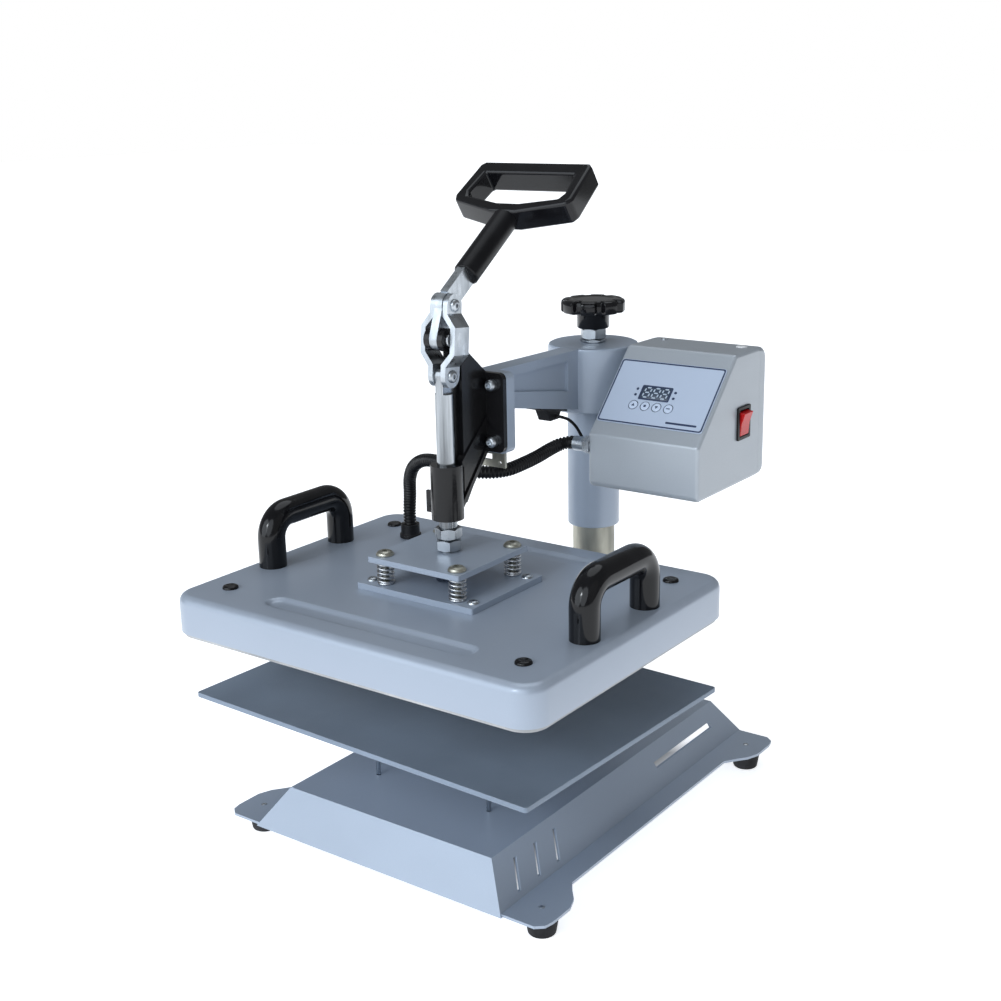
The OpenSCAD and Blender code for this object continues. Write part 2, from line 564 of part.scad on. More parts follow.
// ---- Press rod ----
module press_rod() color([0.8, 0.81, 0.83]) at_origin() difference() {
    union() {
        translate([0, 0, 248]) cylinder(r = rod_r, h = rod_pivot[1] - 248);
        x_pin(rod_pivot, rod_r, -rod_r, rod_r);
    }
    for (s = [0, 1]) mirror([s, 0, 0]) translate([4, -15, rod_pivot[1] - 15.5]) cube([20, 30, 40]);
    x_pin(rod_pivot, pin_r, -20, 20);
}
module rod_nuts() color([0.72, 0.76, 0.8]) at_origin() for (z = [[259.6, 9.6], [270.2, 10.6]])
    translate([0, 0, z[0]]) rotate([0, 0, 12]) difference() {
        hex_prism(21, z[1]);
        translate([0, 0, -1]) cylinder(r = rod_r, h = z[1] + 2);
    }
module pressure_plate() color([0.66, 0.73, 0.83]) at_origin() difference() {
    translate([0, -1, pressure_z[0]]) linear_extrude(pressure_z[1] - pressure_z[0]) rrect(101, 103, 2);
    translate([0, 0, pressure_z[0] - 1]) cylinder(r = rod_r, h = 10);
    translate([0, 0, pressure_z[0] - 1]) four(spring_x, spring_y) cylinder(r = 3.06, h = 10);
}

// ---- Heating head ----
module spring_plate() color([0.66, 0.73, 0.83]) at_origin() difference() {
    translate([0, 0, spring_plate_z[0]]) linear_extrude(spring_plate_z[1] - spring_plate_z[0])
        rrect(129, 105, 2);
    translate([0, 0, spring_plate_z[0] - 1]) {
        four(plate_screw_x, plate_screw_y) cylinder(r = 3, h = 10);
        four(spring_x, spring_y) cylinder(r = 3, h = 10);
        cylinder(r = 12, h = 10);
    }
}
module plate_screws() color([0.82, 0.82, 0.8]) at_origin() four(plate_screw_x, plate_screw_y) {
    translate([0, 0, heat_z[1] - 8]) cylinder(r = 3, h = spring_plate_z[1] - heat_z[1] + 8);
    translate([0, 0, spring_plate_z[1]]) rotate_extrude() polygon([[0, 0], [5.2, 0], [4.6, 1.6], [2.6, 2.6],
        [0, 2.8]]);
}
module spring_bolts() color([0.78, 0.74, 0.68]) at_origin() four(spring_x, spring_y) {
    translate([0, 0, spring_plate_z[0]]) cylinder(r = 3, h = pressure_z[1] + 0.3 - spring_plate_z[0]);
    translate([0, 0, pressure_z[1] + 0.3]) rotate_extrude() polygon([[0, 0], [7.6, 0], [7.2, 1.6], [4.8, 3.4],
        [0, 4]]);
}
module head_springs() color([0.72, 0.74, 0.76]) at_origin() {
    turns = 6;
    mid_r = 6.9;
    wire = 0.95;
    n = 10;
    low = spring_plate_z[1] + wire + 0.05;
    rise = pressure_z[0] - spring_plate_z[1] - 2 * wire - 0.1;
    four(spring_x, spring_y) swept_tube([for (i = [0 : turns * n])
        [mid_r * cos(360 * i / n), mid_r * sin(360 * i / n), low + rise * i / (turns * n)]], wire, 6);
}
module cover_form(inset) {
    w = head_w / 2 - cover_r;
    d = head_d / 2 - cover_r;
    r = cover_r - inset;
    e = cover_edge_r - inset;
    top = cover_top - inset;
    hull() for (x = [-w, w], y = [-d, d]) translate([x, y, 0]) rotate_extrude($fn = 32)
        polygon([[0, cover_bottom - inset], [r, cover_bottom - inset],
            for (a = [0 : 30 : 90]) [r - e + e * cos(a), top - e + e * sin(a)], [0, top]]);
}
module heat_cover() color([0.62, 0.67, 0.75]) at_origin() difference() {
    cover_form(0);
    cover_form(cover_t);
    translate([0, 0, cover_top - 4]) {
        four(plate_screw_x, plate_screw_y) cylinder(r = 3.4, h = 10);
        four(cap_x, cap_y) cylinder(r = 4, h = 10);
        four(side_handle_x, side_handle_y) cylinder(r = 3.2, h = 10);
        translate([gland_pos[0], gland_pos[1], 0]) cylinder(r = 7, h = 10);
    }
}
module cover_caps() color([0.06, 0.06, 0.07]) at_origin() four(cap_x, cap_y) {
    translate([0, 0, cover_top - 6]) cylinder(r = 3.9, h = 6);
    translate([0, 0, cover_top]) rotate_extrude() polygon([[0, 0], [7.25, 0], [7.1, 1.4], [5.8, 2.7], [3, 3.1],
        [0, 3.1]]);
}
module side_handles() color([0.05, 0.05, 0.06]) at_origin() for (x = [-1, 1]) translate([x * side_handle_x, 0, 0])
    difference() {
        union() {
            for (y = [-1, 1]) translate([0, y * side_handle_y, cover_top])
                cylinder(r = side_handle_r, h = side_handle_top - side_bend_r - cover_top);
            for (s = [0, 1]) mirror([0, s, 0])
                translate([0, side_handle_y - side_bend_r, side_handle_top - side_bend_r])
                    rotate([90, 0, 90]) rotate_extrude(angle = 90) translate([side_bend_r, 0])
                        circle(side_handle_r);
            translate([0, side_bend_r - side_handle_y, side_handle_top]) rotate([-90, 0, 0])
                cylinder(r = side_handle_r, h = 2 * (side_handle_y - side_bend_r));
        }
        for (y = [-1, 1]) translate([0, y * side_handle_y, cover_top - 1]) cylinder(r = 3, h = 18);
    }
module handle_screws() color([0.75, 0.76, 0.77]) at_origin() four(side_handle_x, side_handle_y) {
    translate([0, 0, cover_top - cover_t - 2]) cylinder(r = 3, h = 18);
    translate([0, 0, cover_top - cover_t - 5]) cylinder(r = 6, h = 5);
}
module heat_platen() color([0.72, 0.73, 0.74]) at_origin() difference() {
    translate([0, 0, heat_z[0]]) linear_extrude(heat_z[1] - heat_z[0]) rrect(388, 304, 20);
    four(plate_screw_x, plate_screw_y) translate([0, 0, heat_z[1] - 8]) cylinder(r = 3, h = 10);
}
module heater_element() color([0.45, 0.43, 0.42]) at_origin() translate([0, 0, heat_z[1] + 4]) {
    run_y = [118, 72];
    run_end = 140;
    bend_x = -100;
    for (y = [-1, 1], k = [0, 1]) translate([k == 0 ? -run_end : bend_x, y * run_y[k], 0])
        rotate([0, 90, 0]) cylinder(r = 4, h = run_end - (k == 0 ? -run_end : bend_x));
    for (s = [0, 1]) mirror([0, s, 0]) translate([run_end, (run_y[0] + run_y[1]) / 2, 0])
        rotate([0, 0, -90]) rotate_extrude(angle = 180) translate([(run_y[0] - run_y[1]) / 2, 0]) circle(4);
    translate([bend_x, 0, 0]) rotate([0, 0, 90]) rotate_extrude(angle = 180)
        translate([run_y[1], 0]) circle(4);
}
module insulation_mat() color([0.85, 0.83, 0.76]) at_origin() difference() {
    translate([0, 0, heat_z[1] + 8]) linear_extrude(8) rrect(330, 280, 15);
    translate([0, 0, heat_z[1]]) four(plate_screw_x, plate_screw_y) cylinder(r = 4, h = 30);
    translate([0, 0, heat_z[1]]) four(cap_x, cap_y) cylinder(r = 6, h = 30);
    translate([gland_pos[0], gland_pos[1], heat_z[1]]) cylinder(r = 12, h = 30);
}
module head_gland() color([0.05, 0.05, 0.06]) at_origin() translate([gland_pos[0], gland_pos[1], 0]) difference() {
    union() {
        translate([0, 0, cover_top]) cylinder(r = 10.5, h = 4);
        translate([0, 0, cover_top + 4]) cylinder(r = 9.2, h = 10);
        translate([0, 0, cover_top - 7]) cylinder(r = 6.8, h = 7);
    }
    translate([0, 0, cover_top + 12 - eps]) cylinder(r = conduit_r, h = 8);
    translate([0, 0, cover_top - 8]) cylinder(r = 4.5, h = 30);
}

// ---- Switch and keys ----
module rocker_button() color([0.85, 0.08, 0.07]) at_origin()
    translate([box_x + box_w, rocker_pos[0], rocker_pos[1]]) rotate([0, rocker_tilt, 0]) along_y(-8.5, 8.5)
        polygon([[-3, -11], [4.5, -11.3], [3.2, 0], [4.5, 11.3], [-3, 11], [-7, 2], [-7, -2]]);
module key(i) at_origin() on_panel() translate([key_x[i], key_s, -2.6]) cylinder(r = key_r, h = 4);
module key_up() color([0.78, 0.84, 0.93]) key(0);
module key_set() color([0.78, 0.84, 0.93]) key(1);
module key_down() color([0.78, 0.84, 0.93]) key(2);
module key_ok() color([0.78, 0.84, 0.93]) key(3);

base_shell();
base_feet();
foot_screws();
column_flange();
column_tube();
column_bolts();
column_nut();
lower_platen();
platen_studs();
stud_nuts();
guide_bushes();
arm_casting();
arm_sleeve();
toggle_frame();
frame_bolts();
clip_plate();
fulcrum_pin();
box_shell();
box_back();
box_bracket();
box_screws();
overlay_panel();
display_module();
control_board();
transformer();
power_relay();
cord_gland();
switch_bezel();
lever_sensor();
sensor_wire();
conduit_fitting();
conduit();
adjust_knob();
adjust_screw();
lever_bar();
lever_grip();
d_handle();
lever_pin();
link_straps();
link_rivets();
press_rod();
rod_nuts();
pressure_plate();
spring_plate();
plate_screws();
spring_bolts();
head_springs();
heat_cover();
cover_caps();
side_handles();
handle_screws();
heat_platen();
heater_element();
insulation_mat();
head_gland();
rocker_button();
key_up();
key_set();
key_down();
key_ok();
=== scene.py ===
import json
import math

import bmesh
import bpy
from mathutils import Matrix, Vector


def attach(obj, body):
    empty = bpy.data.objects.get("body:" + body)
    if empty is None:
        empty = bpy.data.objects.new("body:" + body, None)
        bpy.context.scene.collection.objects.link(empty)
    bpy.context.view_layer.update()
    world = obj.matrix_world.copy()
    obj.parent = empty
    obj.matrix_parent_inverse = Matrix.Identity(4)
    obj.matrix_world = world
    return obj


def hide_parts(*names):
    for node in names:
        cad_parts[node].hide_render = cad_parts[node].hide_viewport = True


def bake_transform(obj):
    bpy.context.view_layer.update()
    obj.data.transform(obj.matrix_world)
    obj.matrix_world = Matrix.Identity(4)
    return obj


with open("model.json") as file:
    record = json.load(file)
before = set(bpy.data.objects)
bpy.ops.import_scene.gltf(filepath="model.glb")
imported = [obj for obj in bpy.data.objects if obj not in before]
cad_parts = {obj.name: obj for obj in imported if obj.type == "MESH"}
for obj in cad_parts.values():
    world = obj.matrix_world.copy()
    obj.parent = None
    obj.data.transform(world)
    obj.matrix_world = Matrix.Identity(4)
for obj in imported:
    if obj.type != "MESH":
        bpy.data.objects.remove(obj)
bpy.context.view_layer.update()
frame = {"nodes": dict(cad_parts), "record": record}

# The press is laid out in millimetres, with the press rod at x = y = 0 and z = 0 under the base sheet.
layout = {"rodBack": 75.0, "feet": 20.5}


def at(x, y, z):
    return Vector((x / 1000, (y - layout["rodBack"]) / 1000, (z + layout["feet"]) / 1000))


def layoutOf(v):
    return v.x * 1000, v.y * 1000 + layout["rodBack"], v.z * 1000 - layout["feet"]


# finishes
def startFinish(name, color, rough, metal=0.0):
    finish = bpy.data.materials.new(name)
    finish.use_nodes = True
    shader = finish.node_tree.nodes["Principled BSDF"]
    shader.inputs["Base Color"].default_value = (*color, 1)
    shader.inputs["Roughness"].default_value = rough
    shader.inputs["Metallic"].default_value = metal
    return finish, shader


def addNode(finish, kind, **values):
    node = finish.node_tree.nodes.new(kind)
    for key, value in values.items():
        if hasattr(node, key):
            setattr(node, key, value)
        else:
            node.inputs[key.replace("_", " ")].default_value = value
    return node


def link(finish, out, into):
    finish.node_tree.links.new(out, into)


def objectNoise(finish, scale, detail=3.0, stretch=(1, 1, 1)):
    coords = addNode(finish, "ShaderNodeTexCoord")
    mapping = addNode(finish, "ShaderNodeMapping")
    mapping.inputs["Scale"].default_value = stretch
    noise = addNode(finish, "ShaderNodeTexNoise", Scale=scale, Detail=detail)
    link(finish, coords.outputs["Object"], mapping.inputs["Vector"])
    link(finish, mapping.outputs["Vector"], noise.inputs["Vector"])
    return noise.outputs["Fac"]


def spread(finish, value, low, high, outLow, outHigh):
    band = addNode(finish, "ShaderNodeMapRange")
    for key, number in (("From Min", low), ("From Max", high), ("To Min", outLow), ("To Max", outHigh)):
        band.inputs[key].default_value = number
    link(finish, value, band.inputs["Value"])
    return band.outputs["Result"]


def tint(finish, factor, first, second):
    mix = addNode(finish, "ShaderNodeMix", data_type="RGBA")
    for key, value in (("A", first), ("B", second)):
        socket = [s for s in mix.inputs if s.name == key and s.type == "RGBA"][0]
        if isinstance(value, tuple):
            socket.default_value = (*value, 1)
        else:
            link(finish, value, socket)
    link(finish, factor, mix.inputs["Factor"])
    return [s for s in mix.outputs if s.type == "RGBA"][0]


def times(finish, a, b):
    node = addNode(finish, "ShaderNodeMath", operation="MULTIPLY")
    link(finish, a, node.inputs[0])
    if isinstance(b, float):
        node.inputs[1].default_value = b
    else:
        link(finish, b, node.inputs[1])
    return node.outputs[0]


def relief(finish, shader, height, depth, strength=1.0):
    bump = addNode(finish, "ShaderNodeBump", Strength=strength, Distance=depth)
    link(finish, height, bump.inputs["Height"])
    link(finish, bump.outputs["Normal"], shader.inputs["Normal"])


# One sprayed enamel: cloudy tone, fine flake, orange peel, and edges made lighter, as rubbed wear on bevels and as
# painted highlight on the cover rim
def paint(name, p):
    finish, shader = startFinish(name, p["color"], p["rough"], p["metal"])
    cloud = objectNoise(finish, p["cloud"], 4.0)
    dark = tuple(c * p["shade"] for c in p["color"])
    tone = tint(finish, spread(finish, cloud, 0.35, 0.65, 0, 1), dark, p["color"])
    flake = spread(finish, objectNoise(finish, 2600, 1.0), 0.62, 0.74, 0, p["flake"])
    tone = tint(finish, flake, tone, p["worn"])
    rubbedAndLitEdge = addNode(finish, "ShaderNodeAttribute", attribute_name="edgeWearAndHighlight")
    patchy = spread(finish, objectNoise(finish, 70, 3.0), 0.36, 0.66, 0.2, 1)
    tone = tint(finish, times(finish, times(finish, rubbedAndLitEdge.outputs["Fac"], patchy), p["rub"]), tone, p["worn"])
    link(finish, tone, shader.inputs["Base Color"])
    smudge = objectNoise(finish, 22, 6.0, (1, 1, 2.2))
    link(finish, spread(finish, smudge, 0.35, 0.7, p["rough"], p["rough"] + p["smear"]),
         shader.inputs["Roughness"])
    relief(finish, shader, objectNoise(finish, p["peel"], 2.0), p["peelDepth"], 0.5)
    shader.inputs["Coat Weight"].default_value = p["coat"]
    shader.inputs["Coat Roughness"].default_value = 0.12
    shader.inputs["Specular IOR Level"].default_value = p["shine"]
    return finish


# Plated or ground metal: streaks along one way, dull patches and small scratches; in the polished steel the dark
# patches, drawn out along z, are painted reflection
def metal(name, p):
    finish, shader = startFinish(name, p["color"], p["rough"], 1.0)
    dullPatchesAndReflections = spread(finish, objectNoise(finish, p["patch"], 5.0, p["along"]), 0.38, 0.64, 0, 1)
    tone = tint(finish, dullPatchesAndReflections, p["color"], p["dull"])
    rubbedAndLitEdge = addNode(finish, "ShaderNodeAttribute", attribute_name="edgeWearAndHighlight")
    tone = tint(finish, times(finish, rubbedAndLitEdge.outputs["Fac"], 0.5), tone, (0.9, 0.91, 0.92))
    link(finish, tone, shader.inputs["Base Color"])
    streak = objectNoise(finish, p["streak"], 3.0, p["along"])
    link(finish, spread(finish, streak, 0.3, 0.7, p["rough"], p["rough"] + p["spread"]),
         shader.inputs["Roughness"])
    relief(finish, shader, streak, p["depth"], 0.45)
    return finish


# Moulded plastic or rubber: fine skin texture, finger-dulled patches, paler edges
def moulded(name, p):
    finish, shader = startFinish(name, p["color"], p["rough"])
    cloud = spread(finish, objectNoise(finish, 35, 5.0), 0.4, 0.68, 0, 1)
    tone = tint(finish, times(finish, cloud, p["dust"]), p["color"], p["pale"])
    rubbedAndLitEdge = addNode(finish, "ShaderNodeAttribute", attribute_name="edgeWearAndHighlight")
    tone = tint(finish, times(finish, rubbedAndLitEdge.outputs["Fac"], p["rub"]), tone, p["pale"])
    link(finish, tone, shader.inputs["Base Color"])
    smear = objectNoise(finish, 18, 6.0)
    link(finish, spread(finish, smear, 0.35, 0.7, p["rough"], p["rough"] + p["smear"]),
         shader.inputs["Roughness"])
    relief(finish, shader, objectNoise(finish, p["grain"], 2.0), p["depth"], 0.5)
    shader.inputs["Coat Weight"].default_value = p["coat"]
    shader.inputs["Coat Roughness"].default_value = 0.08
    shader.inputs["Specular IOR Level"].default_value = p["shine"]
    return finish


silver = {"color": (0.36, 0.42, 0.51), "rough": 0.34, "metal": 0.2, "cloud": 5, "shade": 0.97, "flake": 0.25,
          "worn": (0.56, 0.62, 0.7), "rub": 0.3, "smear": 0.07, "peel": 420, "peelDepth": 0.00005, "coat": 0.1,
          "shine": 0.5}
finishes = {
    "silver_paint": paint("silverEnamel", silver),
    "cover_paint": paint("coverEnamel", {**silver, "color": (0.35, 0.405, 0.49), "rough": 0.3}),
    "box_paint": paint("boxEnamel", {**silver, "color": (0.38, 0.415, 0.455),
                                     "rough": 0.3, "metal": 0.25, "rub": 0.15}),
    "platen_paint": paint("platenCoating", {**silver, "color": (0.21, 0.265, 0.345), "rough": 0.44, "metal": 0.1,
                                            "shade": 0.88, "cloud": 11, "coat": 0.0}),
    "black_paint": paint("blackEnamel", {**silver, "color": (0.005, 0.005, 0.006), "rough": 0.2, "metal": 0.0,
                                         "worn": (0.13, 0.13, 0.14), "flake": 0.04, "rub": 0.6, "coat": 0.15,
                                         "peelDepth": 0.0002, "shine": 0.3}),
    "bright_zinc": metal("brightZinc", {"color": (0.56, 0.6, 0.64), "dull": (0.4, 0.43, 0.46), "rough": 0.22,
                                        "spread": 0.2, "patch": 60, "streak": 240, "along": (1, 1, 0.25),
                                        "depth": 0.00004}),
    "worn_zinc": metal("wornZinc", {"color": (0.5, 0.49, 0.42), "dull": (0.25, 0.25, 0.22), "rough": 0.3,
                                    "spread": 0.26, "patch": 26, "streak": 120, "along": (1, 1, 0.3),
                                    "depth": 0.0001}),
    # Painted reflection: the dark streaks along z and the lowered colour of the polished rod stand for a dark room
    # mirrored in it
    "polished_steel": metal("polishedSteel", {"color": (0.46, 0.49, 0.52), "dull": (0.15, 0.16, 0.17), "rough": 0.14,
                                              "spread": 0.1, "patch": 110, "streak": 500, "along": (1, 1, 0.06),
                                              "depth": 0.00002}),
    "spring_steel": metal("springSteel", {"color": (0.7, 0.71, 0.73), "dull": (0.5, 0.51, 0.52), "rough": 0.22,
                                          "spread": 0.16, "patch": 90, "streak": 300, "along": (1, 1, 1),
                                          "depth": 0.00003}),
    "cast_aluminium": metal("castAluminium", {"color": (0.52, 0.53, 0.54), "dull": (0.36, 0.37, 0.38), "rough": 0.42,
                                              "spread": 0.2, "patch": 18, "streak": 500, "along": (1, 0.2, 1),
                                              "depth": 0.0001}),
    "core_iron": metal("coreIron", {"color": (0.2, 0.17, 0.14), "dull": (0.1, 0.09, 0.08), "rough": 0.5,
                                    "spread": 0.2, "patch": 60, "streak": 900, "along": (1, 1, 0.1),
                                    "depth": 0.0001}),
    "bronze": metal("turnedBronze", {"color": (0.6, 0.4, 0.18), "dull": (0.42, 0.27, 0.12), "rough": 0.3,
                                     "spread": 0.2, "patch": 40, "streak": 800, "along": (0.1, 0.1, 1),
                                     "depth": 0.00004}),
}
blackSkin = {"color": (0.004, 0.004, 0.005), "pale": (0.05, 0.05, 0.055), "rough": 0.1, "smear": 0.07, "dust": 0.08,
             "rub": 0.12, "grain": 700, "depth": 0.00003, "coat": 0.12, "shine": 0.28}
finishes.update({
    "gloss_black": moulded("glossBlack", blackSkin),
    "grip_black": moulded("gripSleeve", {**blackSkin, "rough": 0.3, "coat": 0.0, "shine": 0.22,
                                         "grain": 1400, "depth": 0.00008}),
    "black_plastic": moulded("satinBlack", {**blackSkin, "rough": 0.38, "coat": 0.0, "shine": 0.3, "grain": 1600,
                                            "depth": 0.00006}),
    "conduit_plastic": moulded("conduitBlack", {**blackSkin, "rough": 0.28, "coat": 0.0, "rub": 0.5}),
    "wire_jacket": moulded("wireJacket", {**blackSkin, "rough": 0.45, "coat": 0.0}),
    "rubber": moulded("footRubber", {**blackSkin, "rough": 0.7, "coat": 0.0, "dust": 0.5, "grain": 900,
                                     "depth": 0.00015}),
    "overlay_film": moulded("overlayFilm", {**blackSkin, "color": (0.42, 0.49, 0.61), "pale": (0.46, 0.53, 0.65),
                                            "rough": 0.32, "coat": 0.1, "grain": 2500, "depth": 0.00002}),
    "key_film": moulded("keyFilm", {**blackSkin, "color": (0.5, 0.58, 0.72), "pale": (0.62, 0.68, 0.78),
                                    "rough": 0.35, "coat": 0.1}),
    "display": moulded("smokedWindow", {**blackSkin, "color": (0.05, 0.068, 0.1), "rough": 0.12}),
    "circuit_board": moulded("solderMask", {**blackSkin, "color": (0.02, 0.16, 0.05), "pale": (0.1, 0.3, 0.15),
                                            "rough": 0.3, "dust": 0.4}),
    "mat_fibre": moulded("fibreMat", {**blackSkin, "color": (0.62, 0.59, 0.5), "pale": (0.7, 0.68, 0.6),
                                      "rough": 0.9, "coat": 0.0, "grain": 500, "depth": 0.0006}),
    "switch_red": moulded("switchRed", {**blackSkin, "color": (0.5, 0.006, 0.008), "pale": (0.65, 0.08, 0.07),
                                        "rough": 0.18, "dust": 0.05}),
})
borderInk = moulded("borderInk", {**blackSkin, "color": (0.035, 0.05, 0.1), "rough": 0.35, "coat": 0.1})
litInk = moulded("segmentLight", {**blackSkin, "color": (0.42, 0.5, 0.6),
                                  "pale": (0.5, 0.56, 0.64), "rough": 0.3})
whitePlug = moulded("whitePlug", {**blackSkin, "color": (0.75, 0.76, 0.77), "pale": (0.85, 0.85, 0.85),
                                  "rough": 0.4})
print("finishes ready:", len(finishes))


# shared making
# Shades a piece, gives it its finish, and hands it to its body
def settle(obj, body, slotName, nodes=(), corner=50, finish=None):
    mesh = obj.data
    if not mesh.materials:
        mesh.materials.append(finish or finishes[slotName])
    mesh.polygons.foreach_set("use_smooth", [True] * len(mesh.polygons))
    mesh.set_sharp_from_angle(angle=math.radians(corner))
    if obj.name not in bpy.context.scene.collection.objects:
        bpy.context.scene.collection.objects.link(obj)
    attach(obj, body)
    if nodes:
        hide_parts(*nodes)
    return obj


def fromLists(name, verts, faces, place=at):
    mesh = bpy.data.meshes.new(name)
    mesh.from_pydata([place(*v) for v in verts], [], faces)
    mesh.validate()
    bm = bmesh.new()
    bm.from_mesh(mesh)
    bmesh.ops.remove_doubles(bm, verts=bm.verts, dist=1e-7)
    bmesh.ops.recalc_face_normals(bm, faces=bm.faces)
    bm.to_mesh(mesh)
    bm.free()
    return bpy.data.objects.new(name, mesh)


bodyOf = {n: b for b, members in frame["record"]["behaviour"]["bodies"].items() for n in members}
slotOf = {s["node"]: s["material_slot"] for s in frame["record"]["subparts"]}


def rounded(bm, edges, width, steps, wearAndHighlight, amount):
    made = bmesh.ops.bevel(bm, geom=edges, offset=width / 1000, offset_type="OFFSET", segments=steps, profile=0.5,
                           affect="EDGES", clamp_overlap=True, loop_slide=True)
    strips = set(made["faces"])
    for v in {v for f in strips for v in f.verts}:
        if all(f in strips for f in v.link_faces):
            v[wearAndHighlight] = amount


# Takes a CAD node's shape and rounds its edges: wide(x, y, z) picks those that get the bigger radius
def refine(node, name, edge=0.5, steps=3, corner=30, wide=None, wideEdge=2.0, wideSteps=4):
    bm = bmesh.new()
    bm.from_mesh(frame["nodes"][node].data)
    bmesh.ops.remove_doubles(bm, verts=bm.verts, dist=2e-6)
    bmesh.ops.dissolve_limit(bm, angle_limit=math.radians(0.6), verts=bm.verts, edges=bm.edges)
    wearAndHighlight = bm.verts.layers.float.new("edgeWearAndHighlight")

    def corners():
        return [e for e in bm.edges if len(e.link_faces) == 2 and e.calc_face_angle(0) > math.radians(corner)]

    if wide:
        picked = [e for e in corners() if wide(*layoutOf((e.verts[0].co + e.verts[1].co) / 2))]
        rounded(bm, picked, wideEdge, wideSteps, wearAndHighlight, 0.6)
    if edge:
        rounded(bm, corners(), edge, steps, wearAndHighlight, 1.0)
    mesh = bpy.data.meshes.new(name)
    bm.to_mesh(mesh)
    bm.free()
    obj = bpy.data.objects.new(name, mesh)
    settle(obj, bodyOf[node], slotOf[node], [node])
    flat = obj.modifiers.new("flatFaces", "WEIGHTED_NORMAL")
    flat.keep_sharp = True
    return obj


# Starts a Geometry Nodes tree and returns (tree, group input, a chain function, a finishing function)
def newTree(name, inputs):
    tree = bpy.data.node_groups.new(name, "GeometryNodeTree")
    tree.interface.new_socket("Geometry", in_out="INPUT", socket_type="NodeSocketGeometry")
    for label, kind, value in inputs:
        socket = tree.interface.new_socket(label, in_out="INPUT", socket_type=kind)
        if value is not None:
            socket.default_value = value
    tree.interface.new_socket("Material", in_out="INPUT", socket_type="NodeSocketMaterial")
    tree.interface.new_socket("Geometry", in_out="OUTPUT", socket_type="NodeSocketGeometry")
    given = tree.nodes.new("NodeGroupInput")

    def add(kind, links=(), **values):
        node = tree.nodes.new(kind)
        for key, value in values.items():
            setattr(node, key, value)
        for socket, source in dict(links).items():
            if isinstance(source, bpy.types.NodeSocket):
                tree.links.new(source, node.inputs[socket])
            else:
                node.inputs[socket].default_value = source
        return node

    def close(geometry):
        real = add("GeometryNodeRealizeInstances", {"Geometry": geometry})
        painted = add("GeometryNodeSetMaterial", {"Geometry": real.outputs[0],
                                                  "Material": given.outputs["Material"]})
        out = tree.nodes.new("NodeGroupOutput")
        tree.links.new(painted.outputs[0], out.inputs[0])

    return tree, given, add, close


# Runs a tree on a seed mesh and returns the result as a plain mesh object
def grow(name, seedMesh, tree, values, finish):
    seed = bpy.data.objects.new(name + "Seed", seedMesh)
    bpy.context.scene.collection.objects.link(seed)
    modifier = seed.modifiers.new("grow", "NODES")
    modifier.node_group = tree
    sockets = {s.name: s.identifier for s in tree.interface.items_tree if s.item_type == "SOCKET"
               and s.in_out == "INPUT"}
    for key, value in {**values, "Material": finish}.items():
        modifier[sockets[key]] = value
    seed.update_tag()
    bpy.context.view_layer.update()
    mesh = bpy.data.meshes.new_from_object(seed.evaluated_get(bpy.context.evaluated_depsgraph_get()))
    mesh.name = name
    bpy.data.objects.remove(seed)
    return bpy.data.objects.new(name, mesh)


def pointsMesh(name, points, edges=(), aims=None, spins=None):
    mesh = bpy.data.meshes.new(name)
    mesh.from_pydata([at(*p) for p in points], list(edges), [])
    if aims:
        mesh.attributes.new("aim", "FLOAT_VECTOR", "POINT").data.foreach_set(
            "vector", [c for a in aims for c in a])
        mesh.attributes.new("spin", "FLOAT", "POINT").data.foreach_set("value", spins or [0.0] * len(points))
    return mesh


# One small part stood on each point, its z axis along the point's aim
def stampTree():
    tree, given, add, close = newTree("stampAtPoints", [("Part", "NodeSocketObject", None)])
    part = add("GeometryNodeObjectInfo", {"Object": given.outputs["Part"]})
    aim = add("GeometryNodeInputNamedAttribute", {"Name": "aim"}, data_type="FLOAT_VECTOR")
    spin = add("GeometryNodeInputNamedAttribute", {"Name": "spin"}, data_type="FLOAT")
    turn = add("ShaderNodeCombineXYZ", {"Z": spin.outputs["Attribute"]})
    start = add("FunctionNodeEulerToRotation", {"Euler": turn.outputs[0]})
    face = add("FunctionNodeAlignRotationToVector", {"Vector": aim.outputs["Attribute"]}, axis="Z")
    both = add("FunctionNodeRotateRotation", {"Rotation": face.outputs[0], "Rotate By": start.outputs[0]},
               rotation_space="LOCAL")
    stamped = add("GeometryNodeInstanceOnPoints", {"Points": given.outputs["Geometry"],
                                                   "Instance": part.outputs["Geometry"],
                                                   "Rotation": both.outputs[0]})
    close(stamped.outputs[0])
    return tree


stamp = stampTree()


def stampParts(name, part, points, aims, spins, body, slotName, nodes=(), finish=None):
    obj = grow(name, pointsMesh(name + "Points", points, aims=aims, spins=spins), stamp, {"Part": part},
               finish or finishes[slotName])
    return settle(obj, body, slotName, nodes)


# A turned part, z along its axis, in mm: profile runs from its outside bottom to the axis, or to a hex socket
def turned(name, profile, around=48, hexAcross=0, hexTop=0, hexFloor=0):
    verts, faces, rings = [], [], []

    def ring(radiusAt, z):
        rings.append(len(verts))
        for k in range(around):
            a = 2 * math.pi * k / around
            r = radiusAt(a) if callable(radiusAt) else radiusAt
            verts.append((r * math.cos(a), r * math.sin(a), z))

    def hexRadius(a):
        return hexAcross / 2 / math.cos((a % (math.pi / 3)) - math.pi / 6)

    for r, z in profile:
        if r > 1e-6:
            ring(r, z)
    if hexAcross:
        ring(hexRadius, hexTop)
        ring(hexRadius, hexFloor)
    for a, b in zip(rings, rings[1:]):
        for k in range(around):
            n = (k + 1) % around
            faces.append((a + k, a + n, b + n, b + k))
    faces.append(tuple(range(around))[::-1])
    last = rings[-1]
    if profile[-1][0] <= 1e-6 and not hexAcross:
        verts.append((0, 0, profile[-1][1]))
        faces += [(last + k, last + (k + 1) % around, len(verts) - 1) for k in range(around)]
    else:
        faces.append(tuple(last + k for k in range(around)))
    return fromLists(name, verts, faces, place=lambda x, y, z: Vector((x, y, z)) / 1000)


